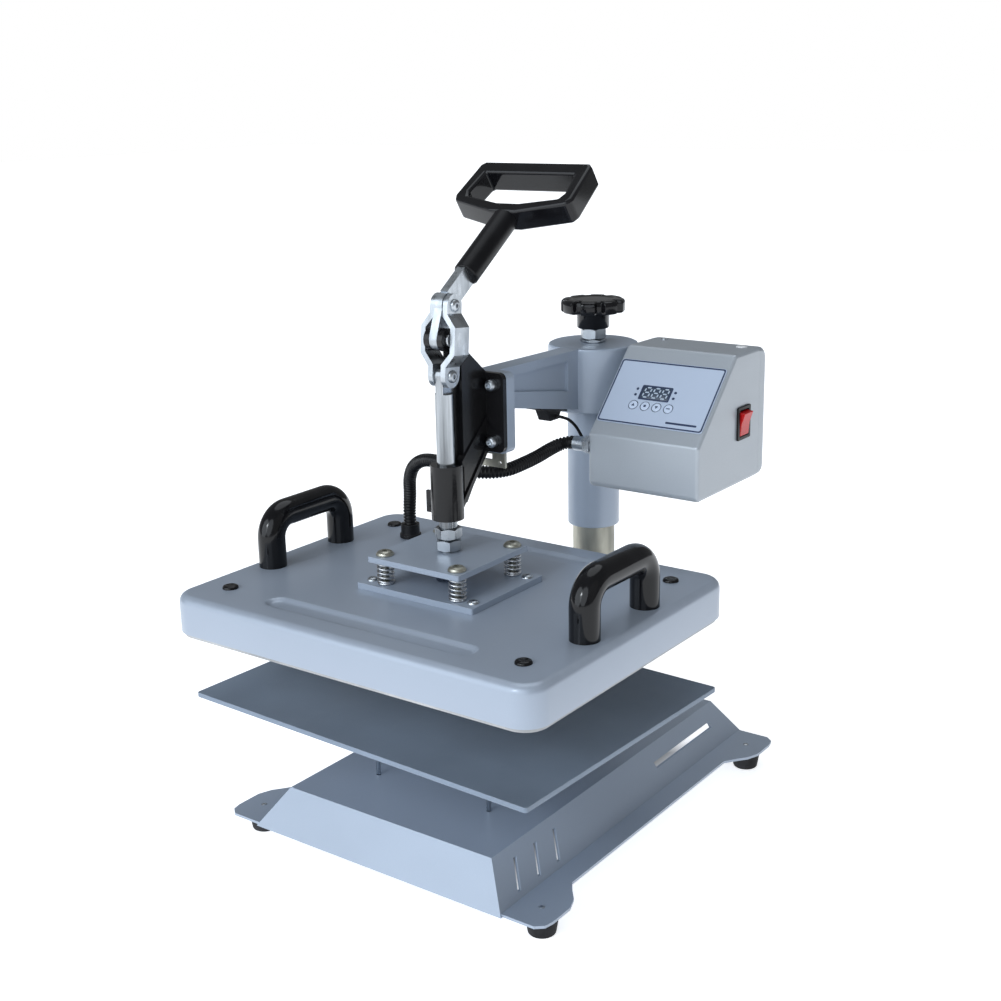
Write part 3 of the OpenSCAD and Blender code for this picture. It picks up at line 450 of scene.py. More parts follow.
# A hexagon nut with both faces chamfered: z from 0 to height, in mm
def hexNut(name, across, height, hole, around=72):
    verts, faces = [], []
    rows = 8
    for k in range(around):
        a = 2 * math.pi * k / around
        out = across / 2 / math.cos((a % (math.pi / 3)) - math.pi / 6)
        drop = max(0.0, out - across / 2 * 0.985) * 0.62
        flat = across / 2 * 0.95
        for r, z in ((hole, 0.6), (hole + 0.7, 0), (flat, 0), (out, drop), (out, height - drop), (flat, height),
                     (hole + 0.7, height), (hole, height - 0.6)):
            verts.append((r * math.cos(a), r * math.sin(a), z))
    for k in range(around):
        n = (k + 1) % around
        for i in range(rows):
            j = (i + 1) % rows
            faces.append((k * rows + i, n * rows + i, n * rows + j, k * rows + j))
    return fromLists(name, verts, faces, place=lambda x, y, z: Vector((x, y, z)) / 1000)


def drop(*parts):
    for part in parts:
        bpy.data.objects.remove(part)


# base, feet and lower platen
baseEdges = {"fold": 2.4, "cut": 0.5}
refine("base_shell", "baseSheet", edge=baseEdges["cut"], wide=lambda x, y, z: z > 33, wideEdge=baseEdges["fold"])
refine("base_feet", "footPads", edge=0.6)
refine("foot_screws", "footScrews", edge=0.4)
refine("column_flange", "columnFlange", edge=1.0)
refine("column_tube", "columnTube", edge=0.6)
refine("column_bolts", "columnBolts", edge=0.3, steps=2)
refine("column_nut", "columnNut", edge=0.3, steps=2)
refine("lower_platen", "lowerPlaten", edge=0.6)
refine("guide_bushes", "guideBushes", edge=0.3, steps=2)

studSizes = {"radius": 2.0, "low": 22.7, "length": 96.4, "x": 64.0, "y": 38.0, "across": 7.0, "nutHeight": 3.2,
             "nutZ": 31.0}
studPart = turned("studPart", [(1.5, 0), (2.0, 0.5), (2.0, studSizes["length"]), (0, studSizes["length"])])
studNut = hexNut("studNutPart", studSizes["across"], studSizes["nutHeight"], studSizes["radius"])
corners = [(x, y + 2.5) for x in (-studSizes["x"], studSizes["x"]) for y in (-studSizes["y"], studSizes["y"])]
for name, part, z, node in (("platenStuds", studPart, studSizes["low"], "platen_studs"),
                            ("studNuts", studNut, studSizes["nutZ"], "stud_nuts")):
    stampParts(name, part, [(x, y, z) for x, y in corners], [(0, 0, 1)] * 4, [0.3 * k for k in range(4)], "base",
               slotOf[node], [node])
drop(studPart, studNut)
print("base made")

# arm, toggle frame and column parts
armEdges = {"cast": 2.2, "small": 0.5}
refine("arm_casting", "armCasting", edge=armEdges["small"],
       wide=lambda x, y, z: (y < 190 and abs(x) < 30) and not (y < 66 and abs(x) > 10 and abs(x) < 24),
       wideEdge=armEdges["cast"])
refine("arm_sleeve", "armSleeve", edge=1.2)
refine("toggle_frame", "toggleFrame", edge=0.9)
refine("clip_plate", "clipPlate", edge=0.3)
refine("box_bracket", "boxBracket", edge=0.5)
refine("box_screws", "boxScrews", edge=0.4)
refine("conduit_fitting", "conduitFitting", edge=0.5)
refine("lever_sensor", "leverSensor", edge=0.6)
refine("fulcrum_pin", "fulcrumPin", edge=0.8)

capScrew = {"head": 5.2, "shank": 4.0, "length": 17, "height": 7.0, "socket": 4.6}
boltPart = turned("boltPart", [(capScrew["shank"], -capScrew["length"]), (capScrew["shank"], 0), (capScrew["head"], 0),
                               (capScrew["head"], 3.8), (4.9, 5.2), (4.1, 6.3), (3.2, 6.9), (2.8, 7.0)],
                  hexAcross=capScrew["socket"], hexTop=6.8, hexFloor=3.6)
boltPlaces = [(x, 47, z) for x in (-17, 17) for z in (349.8, 401)]
stampParts("frameBolts", boltPart, boltPlaces, [(0, -1, 0)] * 4, [0.2, 0.9, 0.5, 0.1], "arm", "bright_zinc",
           ["frame_bolts"])
drop(boltPart)
print("arm made")

# control box
boxSizes = {"left": 50.0, "right": 166.0, "front": 150.5, "ridge": 340.0, "tilt": math.atan2(70, 67.5),
            "cornerRadius": 4.5}
refine("box_shell", "boxShell", edge=0.5, steps=2,
       wide=lambda x, y, z: (x < 50.3 or x > 165.7) and y < 268.9 and not (x > 165 and 220 < y < 252 and 330 < z < 365)
       and not (x < 51 and (((y - 158) ** 2 + (z - 327) ** 2) < 64 or ((y - 185) ** 2 + (z - 307) ** 2) < 9
                            or ((y - 252.4) ** 2 + (z - 372) ** 2) < 260)),
       wideEdge=boxSizes["cornerRadius"], wideSteps=5)
refine("box_back", "boxBack", edge=0.5, steps=2, wide=lambda x, y, z: (x < 50.3 or x > 165.7) and y > 269.4,
       wideEdge=boxSizes["cornerRadius"], wideSteps=5)
refine("control_board", "controlBoard", edge=0.2, steps=2)
refine("transformer", "transformerCore", edge=0.6)
refine("power_relay", "powerRelay", edge=0.6)
refine("cord_gland", "cordGland", edge=0.5)
refine("switch_bezel", "switchBezel", edge=0.6)
refine("rocker_button", "rockerButton", edge=0.7)


# A point on the sloping panel, in mm: x across, s up the slope, h out of it
def onPanel(x, s, h):
    c, k = math.cos(boxSizes["tilt"]), math.sin(boxSizes["tilt"])
    return at(boxSizes["left"] + x, boxSizes["front"] + s * c - h * k, boxSizes["ridge"] + s * k + h * c)


def roundedOutline(x0, s0, x1, s1, r, perCorner=8):
    points = []
    for cx, cs, start in ((x1 - r, s1 - r, 0), (x0 + r, s1 - r, 90), (x0 + r, s0 + r, 180), (x1 - r, s0 + r, 270)):
        for k in range(perCorner + 1):
            a = math.radians(start + 90 * k / perCorner)
            points.append((cx + r * math.cos(a), cs + r * math.sin(a)))
    return points


# A thin plate on the panel with a softened top edge, and a hole of the same number of points
def panelSlab(name, outline, low, high, hole=None, soft=0.12):
    cx = sum(p[0] for p in outline) / len(outline)
    cs = sum(p[1] for p in outline) / len(outline)
    verts, faces = [], []
    n = len(outline)

    def ring(points, h, grow=0.0):
        for x, s in points:
            d = math.hypot(x - cx, s - cs) or 1
            verts.append((x + (x - cx) / d * grow, s + (s - cs) / d * grow, h))

    ring(outline, low)
    ring(outline, high - soft)
    ring(outline, high, -soft)
    if hole:
        ring(hole, high, soft)
        ring(hole, high - soft)
        ring(hole, low)
    rows = 6 if hole else 3
    for i in range(rows if hole else rows - 1):
        j = (i + 1) % rows
        for k in range(n):
            m = (k + 1) % n
            faces.append((i * n + k, i * n + m, j * n + m, j * n + k))
    if not hole:
        faces.append(tuple(range(n))[::-1])
        faces.append(tuple(2 * n + k for k in range(n)))
    return fromLists(name, verts, faces, place=onPanel)


refine("overlay_panel", "overlayFilm", edge=0.25, steps=2)
borderLine = {"outer": (3.3, 15.6, 112.7, 84.4), "width": 1.5, "radius": 2.6}
x0, s0, x1, s1 = borderLine["outer"]
w = borderLine["width"]
border = panelSlab("overlayBorder", roundedOutline(x0, s0, x1, s1, borderLine["radius"]), 0.9, 1.1,
                   roundedOutline(x0 + w, s0 + w, x1 - w, s1 - w, borderLine["radius"] - w * 0.6), soft=0.03)
settle(border, "arm", "overlay_film", finish=borderInk)
stripe = panelSlab("overlayStripe", roundedOutline(74, 20.5, 106, 22.6, 1.0), 0.95, 1.08, soft=0.03)
settle(stripe, "arm", "overlay_film", finish=borderInk)

displaySizes = {"window": (36.9, 43.6, 67.3, 57.6), "digitWidth": 6.0, "digitHeight": 10.4, "line": 1.35,
                "pitch": 9.3, "lean": 0.12}
window = panelSlab("displayWindow", roundedOutline(*displaySizes["window"], 0.6), -7.4, 0.8)
settle(window, "arm", "display", ["display_module"])
rim = panelSlab("displayRim", roundedOutline(35.9, 42.6, 68.3, 58.6, 1.4), 0.9, 1.15,
                roundedOutline(37.3, 44.0, 66.9, 57.2, 0.6), soft=0.05)
settle(rim, "arm", "display", finish=borderInk)


# Three seven-bar digits as thin raised bars on the window
def digitBars(shown):
    p = displaySizes
    w, h, t = p["digitWidth"], p["digitHeight"], p["line"]
    bars = {"a": (0, h, w, h, 0), "g": (0, h / 2, w, h / 2, 0), "d": (0, 0, w, 0, 0), "f": (0, h / 2, 0, h, 1),
            "b": (w, h / 2, w, h, 1), "e": (0, 0, 0, h / 2, 1), "c": (w, 0, w, h / 2, 1)}
    lit = {"0": "abcdef", "1": "bc", "8": "abcdefg"}
    verts, faces = [], []
    for i, digit in enumerate(shown):
        for key in lit[digit]:
            ax, ay, bx, by, upright = bars[key]
            gap = t * 0.62
            ends = ([(ax, ay + gap), (ax + t / 2, ay + gap + t / 2), (ax + t / 2, by - gap - t / 2), (ax, by - gap),
                     (ax - t / 2, by - gap - t / 2), (ax - t / 2, ay + gap + t / 2)] if upright else
                    [(ax + gap, ay), (ax + gap + t / 2, ay - t / 2), (bx - gap - t / 2, ay - t / 2), (bx - gap, ay),
                     (bx - gap - t / 2, ay + t / 2), (ax + gap + t / 2, ay + t / 2)])
            first = len(verts)
            for level in (0.75, 0.92):
                for x, y in ends:
                    verts.append((39.3 + i * p["pitch"] + x + y * p["lean"], 45.8 + y, level))
            n = len(ends)
            faces.append(tuple(first + k for k in range(n))[::-1])
            faces.append(tuple(first + n + k for k in range(n)))
            for k in range(n):
                m = (k + 1) % n
                faces.append((first + k, first + m, first + n + m, first + n + k))
    return fromLists("displayDigits", verts, faces, place=onPanel)


settle(digitBars("888"), "arm", "display", finish=litInk)


def panelDiscs(name, centres, radius, low, high, crown=0.15, around=32):
    verts, faces = [], []
    for cx, cs in centres:
        first = len(verts)
        rings = [(radius, low), (radius, high - crown), (radius * 0.86, high - crown * 0.25), (radius * 0.5, high)]
        for r, h in rings:
            for k in range(around):
                a = 2 * math.pi * k / around
                verts.append((cx + r * math.cos(a), cs + r * math.sin(a), h))
        for i in range(len(rings) - 1):
            for k in range(around):
                m = (k + 1) % around
                faces.append((first + i * around + k, first + i * around + m, first + (i + 1) * around + m,
                              first + (i + 1) * around + k))
        faces.append(tuple(first + k for k in range(around))[::-1])
        faces.append(tuple(first + 3 * around + k for k in range(around)))
    return fromLists(name, verts, faces, place=onPanel)


dots = [(x, s) for x in (32, 72) for s in (47.3, 53.6)]
settle(panelDiscs("indicatorDots", dots, 1.35, 0.9, 1.45), "arm", "display", finish=borderInk)

keyPlaces = {"key_up": 34.2, "key_set": 46.6, "key_down": 58.8, "key_ok": 71.2}
keySigns = {"key_up": [(-1.7, -1.2), (1.7, -1.2), (0, 1.7)], "key_down": [(-1.7, 1.2), (0, -1.7), (1.7, 1.2)],
            "key_set": [(-1.2, -1.2), (1.2, -1.2), (1.2, 1.2), (-1.2, 1.2)],
            "key_ok": [(-1.8, -0.5), (1.8, -0.5), (1.8, 0.5), (-1.8, 0.5)]}
for node, x in keyPlaces.items():
    plain = "".join(part.capitalize() for part in node.split("_"))
    settle(panelDiscs("cap" + plain, [(x, 36)], 4.25, -2.6, 1.4, crown=0.35), bodyOf[node], "key_film", [node])
    sign = panelSlab("sign" + plain, [(x + a, 36 + b) for a, b in keySigns[node]], 1.3, 1.5, soft=0.03)
    settle(sign, bodyOf[node], "key_film", finish=borderInk)
    ring = panelSlab("ring" + plain, [(x + 5.0 * math.cos(2 * math.pi * k / 40),
                                       36 + 5.0 * math.sin(2 * math.pi * k / 40))
                                      for k in range(40)], 0.9, 1.06,
                     [(x + 4.7 * math.cos(2 * math.pi * k / 40), 36 + 4.7 * math.sin(2 * math.pi * k / 40))
                      for k in range(40)], soft=0.02)
    settle(ring, "arm", "overlay_film", finish=borderInk)
topPlug = turned("topPlugPart", [(5.4, 0), (5.4, 0.6), (4.9, 1.1), (3, 1.4), (0, 1.5)])
stampParts("boxTopPlug", topPlug, [(150, 262, 412.6)], [(0, 0, 1)], [0.0], "arm", "box_paint", finish=whitePlug)
drop(topPlug)
print("control box made")


# conduit and wire
def smoothRoute(points, per):
    out = []
    last = len(points) - 1
    for i in range(last):
        a, b = Vector(points[max(i - 1, 0)]), Vector(points[i])
        c, d = Vector(points[i + 1]), Vector(points[min(i + 2, last)])
        for k in range(per):
            t = k / per
            out.append(0.5 * (2 * b + (c - a) * t + (2 * a - 5 * b + 4 * c - d) * t * t
                              + (3 * b - a - 3 * c + d) * t * t * t))
    return [tuple(v) for v in out] + [tuple(points[-1])]


# A hose along a line, ribbed: its radius rises and falls with the length along it
def hoseTree():
    tree, given, add, close = newTree("ribbedHose", [
        ("Radius", "NodeSocketFloat", 0.0064), ("Rib Pitch", "NodeSocketFloat", 0.003),
        ("Rib Depth", "NodeSocketFloat", 0.16), ("Step", "NodeSocketFloat", 0.0005), ("Sides", "NodeSocketInt", 20)])
    line = add("GeometryNodeMeshToCurve", {"Mesh": given.outputs["Geometry"]})
    fine = add("GeometryNodeResampleCurve", {"Curve": line.outputs[0], "Length": given.outputs["Step"]},
               mode="LENGTH")
    along = add("GeometryNodeSplineParameter")
    turns = add("ShaderNodeMath", {0: along.outputs["Length"], 1: given.outputs["Rib Pitch"]}, operation="DIVIDE")
    angle = add("ShaderNodeMath", {0: turns.outputs[0], 1: 2 * math.pi}, operation="MULTIPLY")
    wave = add("ShaderNodeMath", {0: angle.outputs[0]}, operation="COSINE")
    band = add("ShaderNodeMapRange", {"Value": wave.outputs[0], "From Min": -0.55, "From Max": 0.55})
    cut = add("ShaderNodeMath", {0: band.outputs[0], 1: given.outputs["Rib Depth"]}, operation="MULTIPLY")
    scale = add("ShaderNodeMath", {0: 1.0, 1: cut.outputs[0]}, operation="SUBTRACT")
    circle = add("GeometryNodeCurvePrimitiveCircle", {"Resolution": given.outputs["Sides"],
                                                      "Radius": given.outputs["Radius"]})
    skin = add("GeometryNodeCurveToMesh", {"Curve": fine.outputs[0], "Profile Curve": circle.outputs[0],
                                           "Scale": scale.outputs[0], "Fill Caps": True})
    close(skin.outputs[0])
    return tree


conduitSizes = {"Radius": 0.0064, "Rib Pitch": 0.0031, "Rib Depth": 0.17, "Step": 0.0005, "Sides": 20}
conduitRoute = [(31, 158, 327), (28, 158, 327), (24, 157.4, 326.7), (17, 152.5, 324.8), (12.5, 141, 321.5),
                (11, 125, 318.5), (9, 105, 316), (4, 84, 313.5), (-8, 69, 313), (-28, 63, 314), (-56, 66, 316),
                (-82, 71, 314), (-102, 79, 304), (-114, 86, 289), (-119, 91, 270), (-121, 92, 254), (-121, 92, 246),
                (-121, 92, 238)]
wireRoute = [(7, 161, 349.5), (9.5, 161.4, 349.3), (12.5, 165, 348), (14.5, 173, 344), (18, 180, 336),
             (24, 183, 324), (33, 184, 313), (42, 185, 308), (50, 185, 307)]
hose = hoseTree()


def lineMesh(name, points):
    return pointsMesh(name, points, [(k, k + 1) for k in range(len(points) - 1)])


conduit = grow("conduitHose", lineMesh("conduitLine", smoothRoute(conduitRoute, 12)), hose, conduitSizes,
               finishes["conduit_plastic"])
conduit.data.polygons.foreach_set("use_smooth", [True] * len(conduit.data.polygons))
bpy.context.scene.collection.objects.link(conduit)
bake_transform(conduit)
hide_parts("conduit")

wire = grow("sensorWire", lineMesh("wireLine", smoothRoute(wireRoute, 8)), hose,
            {"Radius": 0.0015, "Rib Pitch": 0.01, "Rib Depth": 0.0, "Step": 0.0015, "Sides": 12},
            finishes["wire_jacket"])
settle(wire, "arm", "wire_jacket", ["sensor_wire"])
print("conduit made")

# height knob
knobSizes = {"disc": 31.4, "hub": 16.0, "notch": 5.6, "lobes": 8, "notchShare": 0.4}
knobAxisY = 238.4  # the column's axis, mm


# The lobed disc and its hub, as rings from the bottom of the hub to the top
def knobMesh(p, around=256):
    verts, faces = [], []
    rings = [(p["hub"] - 1.2, 423, 0), (p["hub"], 424.2, 0), (p["hub"], 436.5, 0), (p["hub"] + 1.2, 438, 0.0),
             (p["disc"] - 3.5, 438.4, 0.8), (p["disc"] - 1.0, 439, 1), (p["disc"], 440.4, 1), (p["disc"], 448.2, 1),
             (p["disc"] - 0.6, 450, 1), (p["disc"] - 2.0, 451.2, 1), (p["disc"] - 4.2, 451.8, 0.75), (22, 452, 0),
             (20.5, 451.9, 0), (19.5, 451.3, 0), (14, 451.2, 0), (5, 451.4, 0)]
    for r, z, share in rings:
        for k in range(around):
            a = 2 * math.pi * k / around
            wave = 0.5 - 0.5 * math.cos(p["lobes"] * a)
            dip = min(1.0, max(0.0, (p["notchShare"] - wave) / 0.3))
            dip = dip * dip * (3 - 2 * dip)
            verts.append(((r - share * p["notch"] * dip) * math.cos(a),
                          knobAxisY + (r - share * p["notch"] * dip) * math.sin(a), z))
    for i in range(len(rings) - 1):
        for k in range(around):
            n = (k + 1) % around
            faces.append((i * around + k, i * around + n, (i + 1) * around + n, (i + 1) * around + k))
    faces.append(tuple(range(around))[::-1])
    faces.append(tuple((len(rings) - 1) * around + k for k in range(around)))
    return settle(fromLists("heightKnob", verts, faces), "knob", "gloss_black", ["adjust_knob"])


knobMesh(knobSizes)
screwShaft = turned("screwShaftPart", [(7.4, 0), (8, 0.8), (8, 108), (7, 109), (0, 109)])
stampParts("adjustShaft", screwShaft, [(0, knobAxisY, 336)], [(0, 0, 1)], [0.0], "knob", "bright_zinc",
           ["adjust_screw"])
lockNut = hexNut("lockNutPart", 23, 10, 8)
thinNut = hexNut("thinNutPart", 23, 3, 8)
stampParts("lockNut", lockNut, [(0, knobAxisY, 412.7)], [(0, 0, 1)], [0.2], "knob", "bright_zinc")
stampParts("thinNut", thinNut, [(0, knobAxisY, 409.3)], [(0, 0, 1)], [0.55], "knob", "bright_zinc")
drop(screwShaft, lockNut, thinNut)
print("knob made")

# lever, handle and links
refine("lever_bar", "leverBar", edge=0.9)
refine("d_handle", "dHandle", edge=3.2, steps=5, corner=50)
strapBends = {"low": 419.0, "high": 472.0, "lean": 0.1, "radius": 3.2}
refine("link_straps", "linkStraps", edge=0.7,
       wide=lambda x, y, z: strapBends["low"] < z < strapBends["high"] and abs(y - (z - 415.5) * strapBends["lean"]) < 3,
       wideEdge=strapBends["radius"])
refine("press_rod", "pressRod", edge=0.5)
refine("lever_grip", "gripSleeve", edge=0.0)

pinHead = turned("pinHeadPart", [(5.4, 0), (5.5, 0.5), (5.1, 1.5), (4.1, 2.3), (3.0, 2.6), (2.3, 2.6)],
                 hexAcross=3.2, hexTop=2.5, hexFloor=1.0)
for name, body, node, y, z, face in (("leverPinHeads", "lever", "lever_pin", 6, 475.5, 9.45),
                                     ("rivetHeads", "links", "link_rivets", 0, 415.5, 9.35)):
    inner = turned(name + "Shank", [(4, 0), (4, 2 * face), (0, 2 * face)] if body == "lever" else
                   [(4, 0), (4, 5), (0, 5)])
    stampParts(name, pinHead, [(-face, y, z), (face, y, z)], [(-1, 0, 0), (1, 0, 0)], [0.3, 0.8], body,
               "bright_zinc", [node])
    places = [(-face, y, z)] if body == "lever" else [(-9.35, y, z), (4.35, y, z)]
    stampParts(name.replace("Heads", "Shanks"), inner, places, [(1, 0, 0)] * len(places), [0.0] * len(places), body,
               "bright_zinc")
    drop(inner)
drop(pinHead)
print("lever made")

# press rod nuts, pressure plate and springs
rodNut = hexNut("rodNutPart", 21, 9.6, 8.2)
stampParts("rodNuts", rodNut, [(0, 0, 259.6), (0, 0, 270.4)], [(0, 0, 1)] * 2, [0.21, 0.62], "press", "bright_zinc",
           ["rod_nuts"])
drop(rodNut)
refine("pressure_plate", "pressurePlate", edge=0.6)
refine("spring_plate", "springPlate", edge=0.6)
boltHeads = {"head": 7.6, "x": 40.0, "y": 40.5, "seat": 258.3}
domeBolt = turned("domeBoltPart", [(3, -32), (3, 0), (8.1, 0), (8.1, 0.9), (boltHeads["head"], 0.9), (7.2, 2.2),
                                   (5.9, 3.3), (4.2, 3.9), (3.2, 4.0)], hexAcross=4.6, hexTop=3.9, hexFloor=1.8)
springPlaces = [(x, y, boltHeads["seat"]) for x in (-40, 40) for y in (-40.5, 40.5)]
stampParts("springBolts", domeBolt, springPlaces, [(0, 0, 1)] * 4, [0.1, 0.7, 0.4, 0.9], "head", "worn_zinc",
           ["spring_bolts"])
smallScrew = turned("smallScrewPart", [(3, -36), (3, 0), (5.2, 0), (5.1, 0.6), (4.4, 1.7), (3.2, 2.5), (2.2, 2.7)],
                    hexAcross=3.0, hexTop=2.6, hexFloor=1.1)
stampParts("plateScrews", smallScrew, [(x, y, 231.6) for x in (-56, 56) for y in (-40, 40)], [(0, 0, 1)] * 4,
           [0.5, 0.1, 0.8, 0.3], "head", "bright_zinc", ["plate_screws"])
drop(domeBolt, smallScrew)


# A coil spring with closed ends, stood on each point of the seed mesh
def springTree():
    tree, given, add, close = newTree("coilSpring", [
        ("Turns", "NodeSocketFloat", 6.0), ("Mid Radius", "NodeSocketFloat", 0.0069),
        ("Wire Radius", "NodeSocketFloat", 0.001), ("Height", "NodeSocketFloat", 0.02)])
    coil = add("GeometryNodeCurveSpiral", {"Resolution": 28, "Rotations": given.outputs["Turns"],
                                           "Start Radius": given.outputs["Mid Radius"],
                                           "End Radius": given.outputs["Mid Radius"], "Height": 0.0})
    along = add("GeometryNodeSplineParameter")
    rise = add("ShaderNodeMapRange", {"Value": along.outputs["Factor"], "From Min": 0.11, "From Max": 0.89},
               interpolation_type="LINEAR")
    lift = add("ShaderNodeMath", {0: rise.outputs[0], 1: given.outputs["Height"]}, operation="MULTIPLY")
    offset = add("ShaderNodeCombineXYZ", {"Z": lift.outputs[0]})
    raised = add("GeometryNodeSetPosition", {"Geometry": coil.outputs[0], "Offset": offset.outputs[0]})
    wireRing = add("GeometryNodeCurvePrimitiveCircle", {"Resolution": 10, "Radius": given.outputs["Wire Radius"]})
    skin = add("GeometryNodeCurveToMesh", {"Curve": raised.outputs[0], "Profile Curve": wireRing.outputs[0],
                                           "Fill Caps": True})
    stood = add("GeometryNodeInstanceOnPoints", {"Points": given.outputs["Geometry"],
                                                 "Instance": skin.outputs[0]})
    close(stood.outputs[0])
    return tree


springSpan = {"top": 253.0, "foot": 231.6, "start": 232.75}  # heights, mm
springSizes = {"Turns": 6.4, "Mid Radius": 0.00685, "Wire Radius": 0.00105, "Height": 0.0192}
springs = grow("headSprings", pointsMesh("springPoints", [(x, y, springSpan["start"]) for x, y, z in springPlaces]),
               springTree(), springSizes, finishes["spring_steel"])
springs.data.polygons.foreach_set("use_smooth", [True] * len(springs.data.polygons))
bpy.context.scene.collection.objects.link(springs)
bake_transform(springs)
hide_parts("head_springs")
print("springs made")

# heating head
coverSizes = {"width": 394.0, "depth": 310.0, "corner": 23.0, "edge": 8.0, "bottom": 190.7, "top": 226.0,
              "wall": 2.0, "lip": 0.6}
grooves = [{"x0": -98.0, "x1": 105.0, "y": -117.0, "radius": 11.5, "slope": 4.5, "depth": 3.0},
           {"x0": -98.0, "x1": 105.0, "y": 117.0, "radius": 11.5, "slope": 4.5, "depth": 3.0}]


def grooveDepth(x, y):
    sunk = 0.0
    for g in grooves:
        dx = max(g["x0"] - x, 0, x - g["x1"])
        away = math.hypot(dx, y - g["y"]) - (g["radius"] - g["slope"])
        t = min(1.0, max(0.0, 1 - away / g["slope"]))
        sunk = max(sunk, g["depth"] * t * t * (3 - 2 * t))
    return sunk


# The pressed cover: rounded-rectangle rings up the wall and over the edge, then a top with two grooves
def coverMesh(p, perCorner=14):

    def outline(inset):
        w, d, r = p["width"] / 2 - p["corner"], p["depth"] / 2 - p["corner"], p["corner"] - inset
        points = []
        for sx, sy, start in ((1, 1, 0), (-1, 1, 90), (-1, -1, 180), (1, -1, 270)):
            for k in range(perCorner + 1):
                a = math.radians(start + 90 * k / perCorner)
                points.append((sx * w + r * math.cos(a), sy * d + r * math.sin(a)))
        return points

    e, low, top = p["edge"], p["bottom"], p["top"]
    levels = [(p["wall"], top - 8.5), (p["wall"], low + 0.3), (p["wall"] - 0.3, low), (p["lip"], low), (0.15, low + 0.2),
              (0, low + p["lip"]), (0, top - e)]
    levels += [(e - e * math.cos(math.radians(a)), top - e + e * math.sin(math.radians(a))) for a in range(9, 91, 9)]
    verts, faces = [], []
    for inset, z in levels:
        verts += [(x, y, z) for x, y in outline(inset)]
    n = 4 * (perCorner + 1)
    for i in range(len(levels) - 1):
        for k in range(n):
            m = (k + 1) % n
            faces.append((i * n + k, i * n + m, (i + 1) * n + m, (i + 1) * n + k))
    faces.append(tuple(range(n))[::-1])
    faces.append(tuple((len(levels) - 1) * n + k for k in range(n)))
    obj = fromLists("heatCover", verts, faces)
    bm = bmesh.new()
    bm.from_mesh(obj.data)
    cuts = [(0, x) for g in grooves[:1] for a, b in ((g["x0"] - 13, g["x0"] + 1), (g["x1"] - 1, g["x1"] + 13))
            for x in [a + 1.4 * k for k in range(int((b - a) / 1.4) + 1)]]
    cuts += [(1, y) for g in grooves for y in [g["y"] - 13.3 + 1.4 * k for k in range(20)]]
    for axis, value in cuts:
        faces = [f for f in bm.faces if f.normal.z > 0.999 and f.calc_center_median().z > at(0, 0, top - 0.1).z]
        part = list({v for f in faces for v in f.verts} | {e for f in faces for e in f.edges}) + faces
        place = at(value, 0, 0) if axis == 0 else at(0, value, 0)
        bmesh.ops.bisect_plane(bm, geom=part, dist=1e-7, plane_co=place,
                               plane_no=(1, 0, 0) if axis == 0 else (0, 1, 0))
    for v in bm.verts:
        x, y, z = layoutOf(v.co)
        if z > top - 0.01:
            v.co.z -= grooveDepth(x, y) / 1000
    # Painted highlight: the rounded top edge of the cover is made lighter through the edge-wear mask, standing for the
    # highlight along that edge
    wearAndHighlight = bm.verts.layers.float.new("edgeWearAndHighlight")
    for v in bm.verts:
        x, y, z = layoutOf(v.co)
        rim = abs(x) > p["width"] / 2 - e or abs(y) > p["depth"] / 2 - e
        if rim and abs(z - (top - e * 0.3)) < 1.6 and z < top - 0.3:
            v[wearAndHighlight] = 0.4
    bm.to_mesh(obj.data)
    bm.free()
    return settle(obj, "head", "cover_paint", ["heat_cover"])


coverMesh(coverSizes)
capPart = turned("capPart", [(3.9, -6), (3.9, 0), (7.25, 0), (7.2, 1.1), (6.6, 2.2), (5.2, 2.8), (3.6, 3.0),
                             (3.2, 2.7), (1.2, 2.6), (0, 2.6)])
stampParts("coverCaps", capPart, [(x, y, 226) for x in (-160.3, 160.3) for y in (-114.1, 114.1)], [(0, 0, 1)] * 4,
           [0.0] * 4, "head", "gloss_black", ["cover_caps"])
drop(capPart)
gripSizes = {"x": 173.0, "legs": 47.0, "radius": 12.9, "top": 273.2, "bend": 21.0}


# The centre line of one side handle, foot to foot
def gripLine(side):
    p = gripSizes
    points = [(side * p["x"], -p["legs"], 226 + k * 3.0) for k in range(9)]
    for k in range(1, 19):
        a = math.radians(90 * k / 18)
        points.append((side * p["x"], -p["legs"] + p["bend"] * (1 - math.cos(a)),
                       p["top"] - p["bend"] + p["bend"] * math.sin(a)))
    return points + [(x, -y, z) for x, y, z in reversed(points)]


for side, name in ((-1, "leftHandle"), (1, "rightHandle")):
    handle = grow(name, lineMesh(name + "Line", gripLine(side)), hose,
                  {"Radius": gripSizes["radius"] / 1000, "Rib Pitch": 1.0, "Rib Depth": 0.0, "Step": 0.0025,
                   "Sides": 48}, finishes["gloss_black"])
    settle(handle, "head", "gloss_black", ["side_handles"])
refine("handle_screws", "handleScrews", edge=0.4)
refine("heat_platen", "heatPlaten", edge=0.8)
refine("heater_element", "heaterTube", edge=0.0)
refine("insulation_mat", "insulationMat", edge=1.2)
refine("head_gland", "headGland", edge=0.6)
print("heating head made")

# floor, light and camera
floorMesh = bpy.data.meshes.new("floor")
floorMesh.from_pydata([(-12, -12, 0), (12, -12, 0), (12, 12, 0), (-12, 12, 0)], [], [(0, 1, 2, 3)])
floor = bpy.data.objects.new("floor", floorMesh)
bpy.context.scene.collection.objects.link(floor)
floorSettings = {"color": (0.85, 0.87, 0.9), "rough": 0.8, "lift": 0.72, "under": (0.2, 0.2, 0.2),
                 "halfX": 0.07, "halfY": 0.15, "middleY": 0.02, "fade": 0.045}
floorFinish, floorShader = startFinish("paleFloor", floorSettings["color"], floorSettings["rough"])
floorShader.inputs["Emission Color"].default_value = (1, 1, 1, 1)
